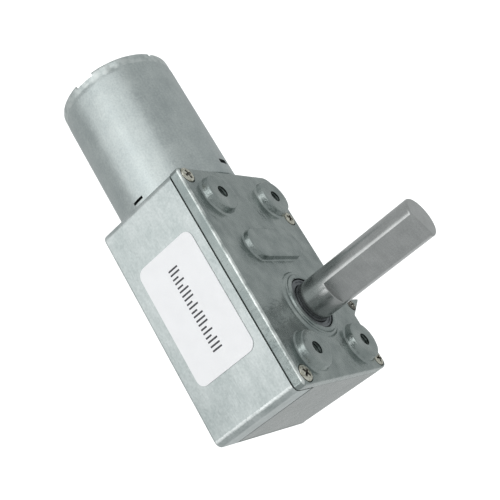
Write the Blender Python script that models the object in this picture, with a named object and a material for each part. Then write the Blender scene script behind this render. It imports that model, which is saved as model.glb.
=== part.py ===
"""Right-angle worm geared DC motor: gearbox, output shaft, gear train and brushed can motor.

Frame: metres, +Z along the output shaft, +X towards the motor, +Y towards the labelled side.
The origin is where the output shaft's axis meets the flat back of the gearbox.
Sizes below are in millimetres and are turned into metres once, as each mesh is made.
"""
import math

import bmesh
import bpy
from mathutils import Matrix, Vector

MM = 0.001

# ---- gearbox envelope -------------------------------------------------------------------
BOX_X0, BOX_X1 = -15.0, 31.0          # free end, motor end
BOX_Y0, BOX_Y1 = -15.1, 17.0          # far side, labelled side
FACE_Z = 21.8                         # front face of the cover
COVER_THICK = 2.1
COVER_Z = FACE_Z - COVER_THICK
SEAM = 0.3                            # open joint between cover and case
FIT = 0.15                            # gap between parts that sit against each other
SHEET = 0.6                           # rear shell's sheet thickness
SHEET_BEND, BACK_EDGE = 1.1, 0.5
STRIP_Y = 11.4                        # the shell's end strips reach from here to the labelled side
WALL = 1.4                            # case wall
DRAFT = 0.8                           # the case's far side leans in by this much at the back

LABEL_X, LABEL_Z = (-4.5, 20.0), (3.5, 17.5)
LABEL_R, LABEL_THICK = 1.5, 0.15

# ---- cover relief -----------------------------------------------------------------------
BOSS_X = (-9.4, 24.6)
BOSS_Y = (-9.25, 9.25)
BOSS_TOP_Z = FACE_Z + 1.6
BOSS_TOP_R, BOSS_BASE_R = 3.9, 4.6
BOSS_TAP_R = 1.25                     # M3 tapping hole
BOSS_TAP_FLOOR = 18.4
COLLAR_TOP_Z = FACE_Z + 0.9
COLLAR_UNDER_Z = COVER_Z - 1.3
COLLAR_BORE_R, COLLAR_TOP_R, COLLAR_BASE_R = 5.4, 6.4, 7.3
PAD_TOP_Z = FACE_Z + 1.2              # oblong pad over the two gear pins
PAD_R = 3.2
PAD_Y = (-4.6, 7.0)
EAR_X0, EAR_X1 = -3.35, 0.6           # fifth screw's ear: its foot on the far side
EAR_TIP = (0.45, -21.1)               # and its outer corner
EAR_FLOOR_Z = 10.0
CORNER_R, MOTOR_CORNER_R = 1.3, 3.0   # far side's corners, at the free end and the motor end

# ---- cover screws -----------------------------------------------------------------------
SCREW_SITES = ((29.2, 14.85), (20.3, -12.6), (-0.95, -15.9), (-13.0, 14.8), (-13.2, -13.1))
EAR_SCREW = 2
SCREW_HEAD_R, EAR_SCREW_HEAD_R = 1.65, 1.2
SCREW_SHANK_R = 0.7
SCREW_SEAT_Z = FACE_Z - 0.6
SCREW_TIP_Z = 14.0
COLUMN_R = 1.9                        # solid column in the case round each corner screw

# ---- gear train -------------------------------------------------------------------------
WORM_MODULE, WORM_WHEEL_TEETH = 0.35, 26
FIRST_MODULE, FIRST_PINION_TEETH, IDLER_TEETH = 0.6, 12, 26
LAST_MODULE, LAST_PINION_TEETH, OUTPUT_TEETH = 0.7, 9, 31
WORM_PITCH_R, WORM_CREST_R, WORM_ROOT_R = 1.85, 2.15, 1.45
MOTOR_Y, MOTOR_Z = 1.0, 9.6
IDLER_Y = -4.0
FIRST_SPACING = FIRST_MODULE * (FIRST_PINION_TEETH + IDLER_TEETH) / 2
LAST_SPACING = LAST_MODULE * (LAST_PINION_TEETH + OUTPUT_TEETH) / 2
PIN_X = math.sqrt(LAST_SPACING ** 2 - IDLER_Y ** 2)
WHEEL_Y = IDLER_Y + FIRST_SPACING
WHEEL_Z0, WHEEL_Z1 = MOTOR_Z - 1.8, MOTOR_Z + 1.8
PIN_R = 1.0
PIN_BORE_R = 1.08
PIN_TOP_Z = FACE_Z - 0.4

# ---- output shaft -----------------------------------------------------------------------
SHAFT_R = 4.0
SHAFT_TIP_Z = FACE_Z + 27.2
SHAFT_FLAT = 3.0                      # D-cut: distance from axis to flat
SHAFT_FLAT_Z = FACE_Z + 6.5           # where the flat starts
SHAFT_FLAT_ANGLE = math.radians(126.0)
JOURNAL_R = 3.0
CLIP_Z = COVER_Z - 3.2

# ---- motor ------------------------------------------------------------------------------
CAN_R, CAN_INNER_R = 12.2, 11.4
CAN_X0, CAN_X1 = BOX_X1 + 0.1, 61.8
MOTOR_SHAFT_R = 1.0
VENTS = ((-4.0, 33.3), (98.0, 34.0), (176.0, 33.3), (278.0, 34.0))   # angle round the can, X
VENT_LENGTH, VENT_WIDTH = 2.6, 0.6
RIM_NOTCHES = ((8.0, 4.4), (84.0, 1.2), (188.0, 4.4), (264.0, 1.2))  # angle round the can, width
POLES = 3
POLE_R = 7.6
CORE_X = (39.0, 53.0)
MOTOR_SCREW_OFFSET = 7.0
TERMINAL_OFFSET = 5.0
END_CAP_X = (58.9, 61.0)
BRUSH_X = (55.4, 57.4)
MAGNET_R, MAGNET_X = (8.3, 11.25), (37.0, 55.0)
MAGNET_HALF_ANGLE = 62.0
WINDING_BORE = 1.65                   # half-width of the opening that a pole's neck passes through

ROUND = 40
SMALL_ROUND = 20


# ---- mesh helpers -----------------------------------------------------------------------
def clear_scene():
    for obj in list(bpy.data.objects):
        bpy.data.objects.remove(obj, do_unlink=True)


def material(name, colour, roughness, metallic):
    mat = bpy.data.materials.new(name)
    mat.use_nodes = True
    shader = mat.node_tree.nodes["Principled BSDF"]
    shader.inputs["Base Color"].default_value = (*colour, 1.0)
    shader.inputs["Roughness"].default_value = roughness
    shader.inputs["Metallic"].default_value = metallic
    mat.diffuse_color = (*colour, 1.0)
    return mat


def finish_mesh(name, bm, mat=None, smooth_angle=35.0):
    """Turn a bmesh in millimetres into an object in metres, with its faces pointing out."""
    bmesh.ops.remove_doubles(bm, verts=bm.verts, dist=1e-5)
    bmesh.ops.recalc_face_normals(bm, faces=bm.faces)
    bmesh.ops.scale(bm, vec=(MM, MM, MM), verts=bm.verts)
    mesh = bpy.data.meshes.new(name)
    bm.to_mesh(mesh)
    bm.free()
    mesh.shade_smooth()
    mesh.set_sharp_from_angle(angle=math.radians(smooth_angle))
    obj = bpy.data.objects.new(name, mesh)
    bpy.context.scene.collection.objects.link(obj)
    if mat:
        mesh.materials.append(mat)
    return obj


def ring_points(radius, count, start=0.0, centre=(0.0, 0.0)):
    step = math.tau / count
    return [(centre[0] + radius * math.cos(start + i * step),
             centre[1] + radius * math.sin(start + i * step)) for i in range(count)]


def rounded_outline(corners, steps=5):
    """Closed outline from (x, y, radius) corners, each corner rounded by its own arc."""
    points = []
    count = len(corners)
    for i, (x, y, radius) in enumerate(corners):
        here = Vector((x, y))
        if radius <= 0.0:
            points.append((x, y))
            continue
        before = Vector(corners[i - 1][:2]) - here
        after = Vector(corners[(i + 1) % count][:2]) - here
        before.normalize()
        after.normalize()
        half = before.angle(after) / 2
        centre = here + (before + after).normalized() * (radius / math.sin(half))
        first = here + before * (radius / math.tan(half)) - centre
        last = here + after * (radius / math.tan(half)) - centre
        sweep = first.angle_signed(last)
        for k in range(steps + 1):
            turn = -sweep * k / steps
            arm = Matrix.Rotation(turn, 2) @ first
            points.append((centre.x + arm.x, centre.y + arm.y))
    return points


def slot_outline(x, y_low, y_high, radius, steps=12):
    upper = [(x + radius * math.cos(math.pi * k / steps), y_high + radius * math.sin(math.pi * k / steps))
             for k in range(steps + 1)]
    lower = [(x - radius * math.cos(math.pi * k / steps), y_low - radius * math.sin(math.pi * k / steps))
             for k in range(steps + 1)]
    return upper + lower


def add_layers(bm, layers):
    """Skin a stack of outlines [(points, z), ...] of equal point count into one closed body."""
    rings = [[bm.verts.new((x, y, z)) for x, y in points] for points, z in layers]
    count = len(rings[0])
    for low, high in zip(rings, rings[1:]):
        for i in range(count):
            j = (i + 1) % count
            bm.faces.new((low[i], low[j], high[j], high[i]))
    bm.faces.new(list(reversed(rings[0])))
    bm.faces.new(rings[-1])
    return bm


def prism(points, z0, z1):
    return add_layers(bmesh.new(), [(points, z0), (points, z1)])


def add_turned(bm, profile, segments=ROUND, centre=(0.0, 0.0)):
    """Turn a closed (radius, z) profile about the local Z axis at centre."""
    rings = []
    for radius, z in profile:
        if radius < 1e-6:
            rings.append([bm.verts.new((centre[0], centre[1], z))])
        else:
            rings.append([bm.verts.new((x, y, z)) for x, y in ring_points(radius, segments, 0.0, centre)])
    for ring, following in zip(rings, rings[1:] + rings[:1]):
        if len(ring) == 1 and len(following) == 1:
            continue
        for i in range(segments):
            j = (i + 1) % segments
            corners = [ring[i % len(ring)], ring[j % len(ring)],
                       following[j % len(following)], following[i % len(following)]]
            unique = list(dict.fromkeys(corners))
            bm.faces.new(unique)
    return bm


def turned(profile, segments=ROUND, centre=(0.0, 0.0)):
    return add_turned(bmesh.new(), profile, segments, centre)


def rod(radius, z0, z1):
    return [(0.0, z0), (radius, z0), (radius, z1), (0.0, z1)]


def tube(inner, outer, z0, z1):
    return [(inner, z0), (outer, z0), (outer, z1), (inner, z1)]


def add_box(bm, low, high):
    size = [b - a for a, b in zip(low, high)]
    middle = [(a + b) / 2 for a, b in zip(low, high)]
    matrix = Matrix.Translation(middle) @ Matrix.Diagonal((*size, 1.0))
    bmesh.ops.create_cube(bm, size=1.0, matrix=matrix)
    return bm


def box(low, high):
    return add_box(bmesh.new(), low, high)


def along_x(bm, x=0.0, y=MOTOR_Y, z=MOTOR_Z):
    """Lay a body made along local Z down along X, with its local X pointing to +Y."""
    turn = Matrix(((0, 0, 1, x), (1, 0, 0, y), (0, 1, 0, z), (0, 0, 0, 1)))
    bm.transform(turn)
    return bm


def hide_tool(obj):
    obj.hide_render = True
    obj.display_type = "WIRE"


def combine(target, tool, operation):
    mod = target.modifiers.new(tool.name, "BOOLEAN")
    mod.operation = operation
    mod.object = tool
    hide_tool(tool)


def cut(target, name, bm):
    tool = finish_mesh(name, bm)
    combine(target, tool, "DIFFERENCE")
    return tool


def fuse(target, name, bm):
    tool = finish_mesh(name, bm)
    combine(target, tool, "UNION")
    return tool


def hang_on(pivot, *objects):
    """Parent objects to a pivot empty on their joint axis, keeping them in place."""
    bpy.context.view_layer.update()
    for obj in objects:
        obj.parent = pivot
        obj.matrix_parent_inverse = pivot.matrix_world.inverted()


def pivot(name, x, y, z):
    empty = bpy.data.objects.new(name, None)
    empty.location = (x * MM, y * MM, z * MM)
    empty.empty_display_size = 0.004
    bpy.context.scene.collection.objects.link(empty)
    return empty


# ---- gear helpers -----------------------------------------------------------------------
def involute(angle):
    return math.tan(angle) - angle


def gear_outline(teeth, module, phase=0.0, backlash=0.14, pressure=math.radians(20.0), addendum=0.9):
    """Spur gear outline with a tooth centred on the phase angle."""
    pitch_r = module * teeth / 2
    base_r = pitch_r * math.cos(pressure)
    tip_r = pitch_r + addendum * module
    root_r = pitch_r - 1.2 * module
    half_base = (math.pi * module - backlash) / (4 * pitch_r) + involute(pressure)
    flank = [(root_r, min(half_base, 0.46 * math.tau / teeth))]
    for radius in (pitch_r, tip_r):
        flank.append((radius, half_base - involute(math.acos(base_r / radius))))
    points = []
    for k in range(teeth):
        middle = phase + k * math.tau / teeth
        for radius, half in flank:
            points.append((radius * math.cos(middle - half), radius * math.sin(middle - half)))
        for radius, half in reversed(flank):
            points.append((radius * math.cos(middle + half), radius * math.sin(middle + half)))
    return points


def move_outline(points, x, y):
    return [(px + x, py + y) for px, py in points]


def turn_outline(points, angle):
    c, s = math.cos(angle), math.sin(angle)
    return [(x * c - y * s, x * s + y * c) for x, y in points]


def gear_mesh(outline, x, y, z0, z1, twist_per_mm=0.0, layers=1):
    stack = []
    middle = (z0 + z1) / 2
    for k in range(layers + 1):
        z = z0 + (z1 - z0) * k / layers
        stack.append((move_outline(turn_outline(outline, twist_per_mm * (z - middle)), x, y), z))
    return add_layers(bmesh.new(), stack)


def worm_mesh(pitch, turns, steps=16):
    """Right-hand single-start thread about local Z, closed by a cone at each end.

    One row of points runs along the axis at each angle. After one turn the rows are one
    thread further on, so the last row joins the first with an offset of four points.
    An odd number of turns leaves a gap, not a crest, level with the origin at angle zero.
    """
    crest, root = WORM_CREST_R, WORM_ROOT_R
    half_crest, half_root = 0.10, 0.36
    pattern = ((-half_root, root), (-half_crest, crest), (half_crest, crest), (half_root, root))
    bm = bmesh.new()
    rows = []
    for j in range(steps):
        angle = math.tau * j / steps
        row = []
        for m in range(4 * turns + 4):
            offset, radius = pattern[m % 4]
            along = (m // 4 - turns / 2 + j / steps) * pitch + offset
            row.append(bm.verts.new((radius * math.cos(angle), radius * math.sin(angle), along)))
        rows.append(row)
    last = len(rows[0]) - 1
    for j in range(steps):
        wrap = j == steps - 1
        following = rows[0][4:] if wrap else rows[j + 1]
        for m in range(len(following) - 1):
            bm.faces.new((rows[j][m], rows[j][m + 1], following[m + 1], following[m]))
    near = [row[0] for row in rows] + [rows[0][k] for k in (4, 3, 2, 1)]
    far = [row[last] for row in rows[1:]] + [rows[-1][last - k] for k in (1, 2, 3, 4)]
    far = [rows[0][last]] + far
    for loop, reach in ((near, -0.15), (far, 0.15)):
        level = min(v.co.z for v in loop) if reach < 0 else max(v.co.z for v in loop)
        hub = bm.verts.new((0.0, 0.0, level + reach))
        for a, b in zip(loop, loop[1:] + loop[:1]):
            bm.faces.new((a, b, hub))
    return bm


# ---- gearbox ----------------------------------------------------------------------------
def ear_corners(radius):
    """Corners of the fifth screw's ear, between the free end and the motor end."""
    return [(EAR_X0, BOX_Y0, radius), (*EAR_TIP, 0.3), (EAR_X1, BOX_Y0, radius)]


def cover_outline():
    return rounded_outline([(BOX_X1, BOX_Y1, 1.0), (BOX_X0, BOX_Y1, 1.0), (BOX_X0, BOX_Y0, CORNER_R),
                            *ear_corners(0.5), (BOX_X1, BOX_Y0, MOTOR_CORNER_R)])


def boss_sites():
    return [(x, y) for x in BOSS_X for y in BOSS_Y]


def build_cover(mat):
    cover = finish_mesh("front_cover", prism(cover_outline(), COVER_Z, FACE_Z), mat)
    edge = cover.modifiers.new("cast_edge", "BEVEL")
    edge.width = 0.35 * MM
    edge.segments = 1
    edge.limit_method = "ANGLE"
    edge.angle_limit = math.radians(50.0)
    relief = bmesh.new()
    for site in boss_sites():
        add_turned(relief, [(0.0, 17.7), (2.8, 17.7), (2.8, FACE_Z - 1.0), (BOSS_BASE_R + 0.2, FACE_Z - 1.0),
                            (BOSS_BASE_R + 0.2, FACE_Z), (BOSS_BASE_R - 0.1, FACE_Z + 0.4),
                            (BOSS_BASE_R - 0.2, BOSS_TOP_Z - 0.55), (BOSS_TOP_R - 0.1, BOSS_TOP_Z),
                            (0.0, BOSS_TOP_Z)], 24, site)
    add_turned(relief, [(0.0, COLLAR_UNDER_Z), (7.0, COLLAR_UNDER_Z), (7.0, FACE_Z - 1.0),
                        (COLLAR_BASE_R, FACE_Z - 1.0), (COLLAR_BASE_R, FACE_Z + 0.1),
                        (COLLAR_TOP_R, COLLAR_TOP_Z), (0.0, COLLAR_TOP_Z)])
    stack = [(PAD_R + 0.15, FACE_Z - 1.0), (PAD_R + 0.15, FACE_Z + 0.1), (PAD_R - 0.1, PAD_TOP_Z - 0.4),
             (PAD_R - 0.45, PAD_TOP_Z)]
    add_layers(relief, [(slot_outline(PIN_X, *PAD_Y, radius, 10), z) for radius, z in stack])
    fuse(cover, "tool_cover_relief", relief)
    holes = bmesh.new()
    for site in boss_sites():
        add_turned(holes, [(0.0, BOSS_TAP_FLOOR), (BOSS_TAP_R, BOSS_TAP_FLOOR + 0.5),
                           (BOSS_TAP_R, BOSS_TOP_Z - 0.35), (BOSS_TAP_R + 0.5, BOSS_TOP_Z + 0.15),
                           (0.0, BOSS_TOP_Z + 0.15)], 16, site)
    add_turned(holes, rod(COLLAR_BORE_R, 17.0, COLLAR_TOP_Z + 1.0))
    for index, site in enumerate(SCREW_SITES):
        head = (EAR_SCREW_HEAD_R if index == EAR_SCREW else SCREW_HEAD_R) + 0.2
        add_turned(holes, [(0.0, COVER_Z - 1.0), (SCREW_SHANK_R + FIT, COVER_Z - 1.0),
                           (SCREW_SHANK_R + FIT, SCREW_SEAT_Z), (head, SCREW_SEAT_Z), (head, FACE_Z + 1.0),
                           (0.0, FACE_Z + 1.0)], 16, site)
    for y in (WHEEL_Y, IDLER_Y):
        add_turned(holes, rod(PIN_R + FIT, COVER_Z - 1.0, PIN_TOP_Z + 0.2), 12, (PIN_X, y))
    cut(cover, "tool_cover_holes", holes)
    return cover


def case_outline(lean):
    inset = SHEET + FIT
    return rounded_outline([(BOX_X1 - inset, BOX_Y1 - inset, 1.1), (BOX_X0 + inset, BOX_Y1 - inset, 1.1),
                            (BOX_X0 + inset, STRIP_Y - 0.25, 0.0), (BOX_X0 + lean * 0.3, STRIP_Y - 0.25, 0.0),
                            (BOX_X0 + lean * 0.3, BOX_Y0 + lean, CORNER_R + lean),
                            (BOX_X1, BOX_Y0 + lean, MOTOR_CORNER_R),
                            (BOX_X1, STRIP_Y - 0.25, 0.0), (BOX_X1 - inset, STRIP_Y - 0.25, 0.0)])


def screw_columns(z0, z1):
    columns = bmesh.new()
    for index, site in enumerate(SCREW_SITES):
        if index != EAR_SCREW:
            add_turned(columns, rod(COLUMN_R, z0, z1), SMALL_ROUND, site)
    return columns


def build_case(mat):
    z0, z1 = SHEET + FIT, COVER_Z - SEAM
    inset = SHEET + FIT
    walls = add_layers(bmesh.new(), [(case_outline(DRAFT), z0), (case_outline(0.0), z1)])
    case = finish_mesh("gearbox_case", walls, mat)
    ear_root = BOX_Y0 + 0.7
    ear = rounded_outline([(EAR_X0, ear_root, 0.0), *ear_corners(0.3), (EAR_X1, ear_root, 0.0)])
    fuse(case, "tool_case_ear", prism(ear, EAR_FLOOR_Z, z1))
    cavity_outline = rounded_outline([
        (BOX_X1 - WALL, BOX_Y1 - inset - 1.2, 1.0), (BOX_X0 + WALL, BOX_Y1 - inset - 1.2, 1.0),
        (BOX_X0 + WALL, BOX_Y0 + WALL, 1.5), (BOX_X1 - WALL, BOX_Y0 + WALL, 2.0)], 4)
    cavity = finish_mesh("tool_case_cavity", prism(cavity_outline, 2.1, 22.0))
    cut(cavity, "tool_case_columns", screw_columns(1.0, 23.0))
    combine(case, cavity, "DIFFERENCE")
    holes = bmesh.new()
    for site in SCREW_SITES:
        add_turned(holes, rod(SCREW_SHANK_R + FIT, SCREW_TIP_Z - 0.8, 22.0), 16, site)
    add_turned(holes, rod(4.85, -1.0, 3.0))
    for y in (WHEEL_Y, IDLER_Y):
        add_turned(holes, rod(PIN_R + FIT, 1.0, 3.0), SMALL_ROUND, (PIN_X, y))
    cut(case, "tool_case_holes", holes)
    bores = bmesh.new()
    add_turned(bores, rod(3.2, BOX_X1 - 3.0, BOX_X1 + 3.0), SMALL_ROUND)
    for side in (-1.0, 1.0):
        add_turned(bores, rod(1.3, BOX_X1 - 3.0, BOX_X1 + 3.0), 16, (side * MOTOR_SCREW_OFFSET, 0.0))
    cut(case, "tool_case_motor_bores", along_x(bores))
    return case


def build_shell(mat):
    """One folded sheet: back panel, labelled side, and a narrow strip round each end."""
    bm = box((BOX_X0, BOX_Y0 + DRAFT, 0.0), (BOX_X1, BOX_Y1, 24.0))
    for side, radius in ((1.0, SHEET_BEND), (-1.0, 2.0)):
        corners = [e for e in bm.edges if all(v.co.y * side > 12.0 for v in e.verts)
                   and abs(e.verts[0].co.z - e.verts[1].co.z) > 5.0]
        bmesh.ops.bevel(bm, geom=corners, offset=radius, segments=4, profile=0.5, affect="EDGES")
    back = [e for e in bm.edges if max(v.co.z for v in e.verts) < 1.0]
    bmesh.ops.bevel(bm, geom=back, offset=BACK_EDGE, segments=2, profile=0.5, affect="EDGES")
    shell = finish_mesh("rear_shell", bm, mat)
    inside = bmesh.new()
    add_box(inside, (BOX_X0 + SHEET, BOX_Y0 - 3.0, SHEET), (BOX_X1 - SHEET, BOX_Y1 - SHEET, 30.0))
    cut(shell, "tool_shell_inside", inside)
    trim = bmesh.new()
    add_box(trim, (BOX_X0 - 2.0, BOX_Y0 - 4.0, SHEET), (BOX_X1 + 2.0, STRIP_Y, 31.0))
    cut(shell, "tool_shell_open_sides", trim)
    above = box((BOX_X0 - 3.0, BOX_Y0 - 3.0, COVER_Z - SEAM), (BOX_X1 + 3.0, BOX_Y1 + 3.0, 32.0))
    cut(shell, "tool_shell_top", above)
    return shell


def build_label(mat):
    (x0, x1), (z0, z1) = LABEL_X, LABEL_Z
    corners = [(x1, -z1), (x0, -z1), (x0, -z0), (x1, -z0)]
    outline = rounded_outline([(*corner, LABEL_R) for corner in corners])
    bm = prism(outline, 0.0, LABEL_THICK)
    bm.transform(Matrix(((1, 0, 0, 0), (0, 0, 1, BOX_Y1 + 0.05), (0, -1, 0, 0), (0, 0, 0, 1))))
    return finish_mesh("side_label", bm, mat)


def build_cover_screws(mat):
    for index, (x, y) in enumerate(SCREW_SITES):
        head = EAR_SCREW_HEAD_R if index == EAR_SCREW else SCREW_HEAD_R
        low = SCREW_SEAT_Z + 0.05
        profile = [(0.0, SCREW_TIP_Z), (SCREW_SHANK_R * 0.6, SCREW_TIP_Z), (SCREW_SHANK_R, SCREW_TIP_Z + 0.5),
                   (SCREW_SHANK_R, low), (head, low), (head, FACE_Z - 0.05), (head * 0.72, FACE_Z + 0.2),
                   (0.0, FACE_Z + 0.28)]
        screw = finish_mesh(f"cover_screw_{index + 1}", turned(profile, SMALL_ROUND, (x, y)), mat)
        recess = bmesh.new()
        long, short = head * 0.55, 0.17
        add_box(recess, (x - long, y - short, FACE_Z - 0.3), (x + long, y + short, FACE_Z + 1.0))
        cut(screw, f"tool_slot_a_{index + 1}", recess)
        cut(screw, f"tool_slot_b_{index + 1}",
            box((x - short, y - long, FACE_Z - 0.31), (x + short, y + long, FACE_Z + 1.1)))


# ---- gears and shafts -------------------------------------------------------------------
def build_pins(steel, washer_mat):
    for name, y, washer_z in (("wheel_pin", WHEEL_Y, WHEEL_Z0 - 0.5), ("idler_pin", IDLER_Y, 2.25)):
        pin = turned([(0.0, 1.1), (PIN_R - 0.2, 1.1), (PIN_R, 1.3), (PIN_R, PIN_TOP_Z - 0.2),
                      (PIN_R - 0.2, PIN_TOP_Z), (0.0, PIN_TOP_Z)], SMALL_ROUND, (PIN_X, y))
        finish_mesh(name, pin, steel)
        washer = name.replace("pin", "washer")
        finish_mesh(washer, turned(tube(PIN_BORE_R, 2.0, washer_z, washer_z + 0.3), SMALL_ROUND, (PIN_X, y)),
                    washer_mat)
    for name, y, z0, z1 in (("wheel_spacer_lower", WHEEL_Y, 2.3, WHEEL_Z0 - 0.7),
                            ("wheel_spacer_upper", WHEEL_Y, 15.6, COVER_Z - 0.2),
                            ("idler_spacer_upper", IDLER_Y, 15.1, COVER_Z - 0.2)):
        finish_mesh(name, turned(tube(PIN_BORE_R, 1.7, z0, z1), 16, (PIN_X, y)), washer_mat)


def build_worm_wheel(wheel_mat, pinion_mat):
    """Worm wheel and first pinion, turning together on the wheel pin."""
    wheel_r = WORM_MODULE * WORM_WHEEL_TEETH / 2
    lead_slope = WORM_MODULE / (2 * WORM_PITCH_R)
    outline = gear_outline(WORM_WHEEL_TEETH, WORM_MODULE, -math.pi / 2, 0.16)
    wheel = finish_mesh("worm_wheel", gear_mesh(outline, PIN_X, WHEEL_Y, WHEEL_Z0, WHEEL_Z1,
                                                lead_slope / wheel_r),
                        wheel_mat)
    cut(wheel, "tool_worm_wheel_bore", turned(rod(PIN_BORE_R, 5.0, 13.0), SMALL_ROUND, (PIN_X, WHEEL_Y)))
    outline = gear_outline(FIRST_PINION_TEETH, FIRST_MODULE, -math.pi / 2)
    pinion = finish_mesh("first_pinion", gear_mesh(outline, PIN_X, WHEEL_Y, WHEEL_Z1 + FIT, 15.4), pinion_mat)
    cut(pinion, "tool_first_pinion_bore", turned(rod(PIN_BORE_R, 9.0, 17.0), SMALL_ROUND, (PIN_X, WHEEL_Y)))
    hang_on(pivot("worm_wheel_axis", PIN_X, WHEEL_Y, MOTOR_Z), wheel, pinion)


def output_direction():
    return math.atan2(-IDLER_Y, -PIN_X)


def build_idler(gear_mat, pinion_mat):
    """Idler gear driven by the first pinion, and the pinion below it that drives the output."""
    phase = math.pi / 2 + math.pi / IDLER_TEETH
    gear = finish_mesh("idler_gear", gear_mesh(gear_outline(IDLER_TEETH, FIRST_MODULE, phase), PIN_X, IDLER_Y,
                                               12.4, 14.9), gear_mat)
    cut(gear, "tool_idler_gear_bore", turned(rod(PIN_BORE_R, 10.0, 17.0), SMALL_ROUND, (PIN_X, IDLER_Y)))
    outline = gear_outline(LAST_PINION_TEETH, LAST_MODULE, output_direction())
    pinion = finish_mesh("idler_pinion", gear_mesh(outline, PIN_X, IDLER_Y, 2.7, 6.9), pinion_mat)
    fuse(pinion, "tool_idler_hub", turned(rod(2.0, 5.0, 12.25), SMALL_ROUND, (PIN_X, IDLER_Y)))
    cut(pinion, "tool_idler_pinion_bore", turned(rod(PIN_BORE_R, 1.0, 14.0), SMALL_ROUND, (PIN_X, IDLER_Y)))
    hang_on(pivot("idler_axis", PIN_X, IDLER_Y, 8.6), gear, pinion)


def build_output(shaft_mat, gear_mat, clip_mat):
    """Output shaft with its D-cut, the output gear pressed on it, and the retaining clip."""
    shaft = finish_mesh("output_shaft", turned([
        (0.0, 0.85), (JOURNAL_R - 0.3, 0.85), (JOURNAL_R, 1.15), (JOURNAL_R, 2.9), (SHAFT_R, 2.9),
        (SHAFT_R, CLIP_Z - 0.1), (SHAFT_R - 0.35, CLIP_Z - 0.1), (SHAFT_R - 0.35, CLIP_Z + 0.6),
        (SHAFT_R, CLIP_Z + 0.6),
        (SHAFT_R, SHAFT_TIP_Z - 0.5), (SHAFT_R - 0.15, SHAFT_TIP_Z - 0.15), (SHAFT_R - 0.5, SHAFT_TIP_Z),
        (0.0, SHAFT_TIP_Z)], 48), shaft_mat)
    flat = box((SHAFT_FLAT, -6.0, SHAFT_FLAT_Z), (9.0, 6.0, SHAFT_TIP_Z + 3.0))
    flat.transform(Matrix.Rotation(SHAFT_FLAT_ANGLE, 4, "Z"))
    cut(shaft, "tool_shaft_flat", flat)
    phase = math.atan2(IDLER_Y, PIN_X) + math.pi / OUTPUT_TEETH
    outline = gear_outline(OUTPUT_TEETH, LAST_MODULE, phase)
    gear = finish_mesh("output_gear", gear_mesh(outline, 0.0, 0.0, 3.2, 6.6), gear_mat)
    fuse(gear, "tool_output_hub", turned(rod(5.6, 5.0, 8.0)))
    cut(gear, "tool_output_bore", turned(rod(SHAFT_R + 0.1, 1.0, 10.0), ROUND))
    clip = finish_mesh("shaft_clip", turned(tube(SHAFT_R - 0.25, 5.0, CLIP_Z, CLIP_Z + 0.5), 32), clip_mat)
    cut(clip, "tool_clip_gap", box((-8.0, -1.4, 15.0), (-1.0, 1.4, 18.0)))
    hang_on(pivot("output_axis", 0.0, 0.0, 2.9), shaft, gear, clip)


def build_bushes(mat):
    finish_mesh("front_bush", turned([
        (SHAFT_R + 0.08, COLLAR_UNDER_Z - 1.1), (6.4, COLLAR_UNDER_Z - 1.1), (6.4, COLLAR_UNDER_Z - FIT),
        (COLLAR_BORE_R - FIT, COLLAR_UNDER_Z - FIT), (COLLAR_BORE_R - FIT, COLLAR_TOP_Z - 0.55),
        (COLLAR_BORE_R - 0.35, COLLAR_TOP_Z - 0.35), (SHAFT_R + 0.6, COLLAR_TOP_Z - 0.35),
        (SHAFT_R + 0.5, COLLAR_TOP_Z - 1.0), (SHAFT_R + 0.08, COLLAR_TOP_Z - 1.2)], 36), mat)
    finish_mesh("rear_bush", turned(tube(JOURNAL_R + 0.08, 4.7, SHEET + FIT, 2.7)), mat)


# ---- motor ------------------------------------------------------------------------------
def build_can(mat):
    """Deep-drawn can, open at the rear, with cooling slots near its front."""
    profile = [(3.2, CAN_X0), (CAN_R - 0.9, CAN_X0), (CAN_R - 0.25, CAN_X0 + 0.25), (CAN_R, CAN_X0 + 0.9),
               (CAN_R, CAN_X1 - 0.8), (CAN_R - 0.2, CAN_X1 - 0.25), (CAN_R - 0.6, CAN_X1),
               (CAN_INNER_R, CAN_X1), (CAN_INNER_R, CAN_X0 + 0.8), (3.2, CAN_X0 + 0.8)]
    can = finish_mesh("motor_can", along_x(turned(profile, 48)), mat)
    vents = bmesh.new()
    for angle, x in VENTS:
        wedge = box((9.0, -VENT_LENGTH / 2, x - VENT_WIDTH / 2), (14.0, VENT_LENGTH / 2, x + VENT_WIDTH / 2))
        wedge.transform(Matrix.Rotation(math.radians(angle), 4, "Z"))
        copy_into(vents, wedge)
    for side in (-1.0, 1.0):
        add_turned(vents, rod(1.15, CAN_X0 - 1.0, CAN_X0 + 2.0), 16, (side * MOTOR_SCREW_OFFSET, 0.0))
    for angle, width in RIM_NOTCHES:
        notch = box((9.0, -width / 2, CAN_X1 - 0.9), (14.0, width / 2, CAN_X1 + 1.0))
        notch.transform(Matrix.Rotation(math.radians(angle), 4, "Z"))
        copy_into(vents, notch)
    cut(can, "tool_can_openings", along_x(vents))
    return can


def copy_into(target, source):
    """Add a bmesh's bodies to another bmesh."""
    mesh = bpy.data.meshes.new("scratch")
    source.to_mesh(mesh)
    source.free()
    target.from_mesh(mesh)
    bpy.data.meshes.remove(mesh)


def build_end_cap(mat):
    profile = [(2.65, 57.6), (3.4, 57.6), (3.4, END_CAP_X[0]), (CAN_INNER_R - FIT, END_CAP_X[0]),
               (CAN_INNER_R - FIT, END_CAP_X[1]), (3.9, END_CAP_X[1]), (3.6, 62.5), (1.3, 62.5),
               (1.3, 61.7), (2.65, 61.7)]
    cap = finish_mesh("motor_end_cap", along_x(turned(profile, ROUND)), mat)
    slots = bmesh.new()
    for side in (-1.0, 1.0):
        y = side * TERMINAL_OFFSET
        add_box(slots, (y - 0.4, -1.3, 56.0), (y + 0.4, 1.3, 64.0))
    cut(cap, "tool_cap_terminal_slots", along_x(slots))
    return cap


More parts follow.
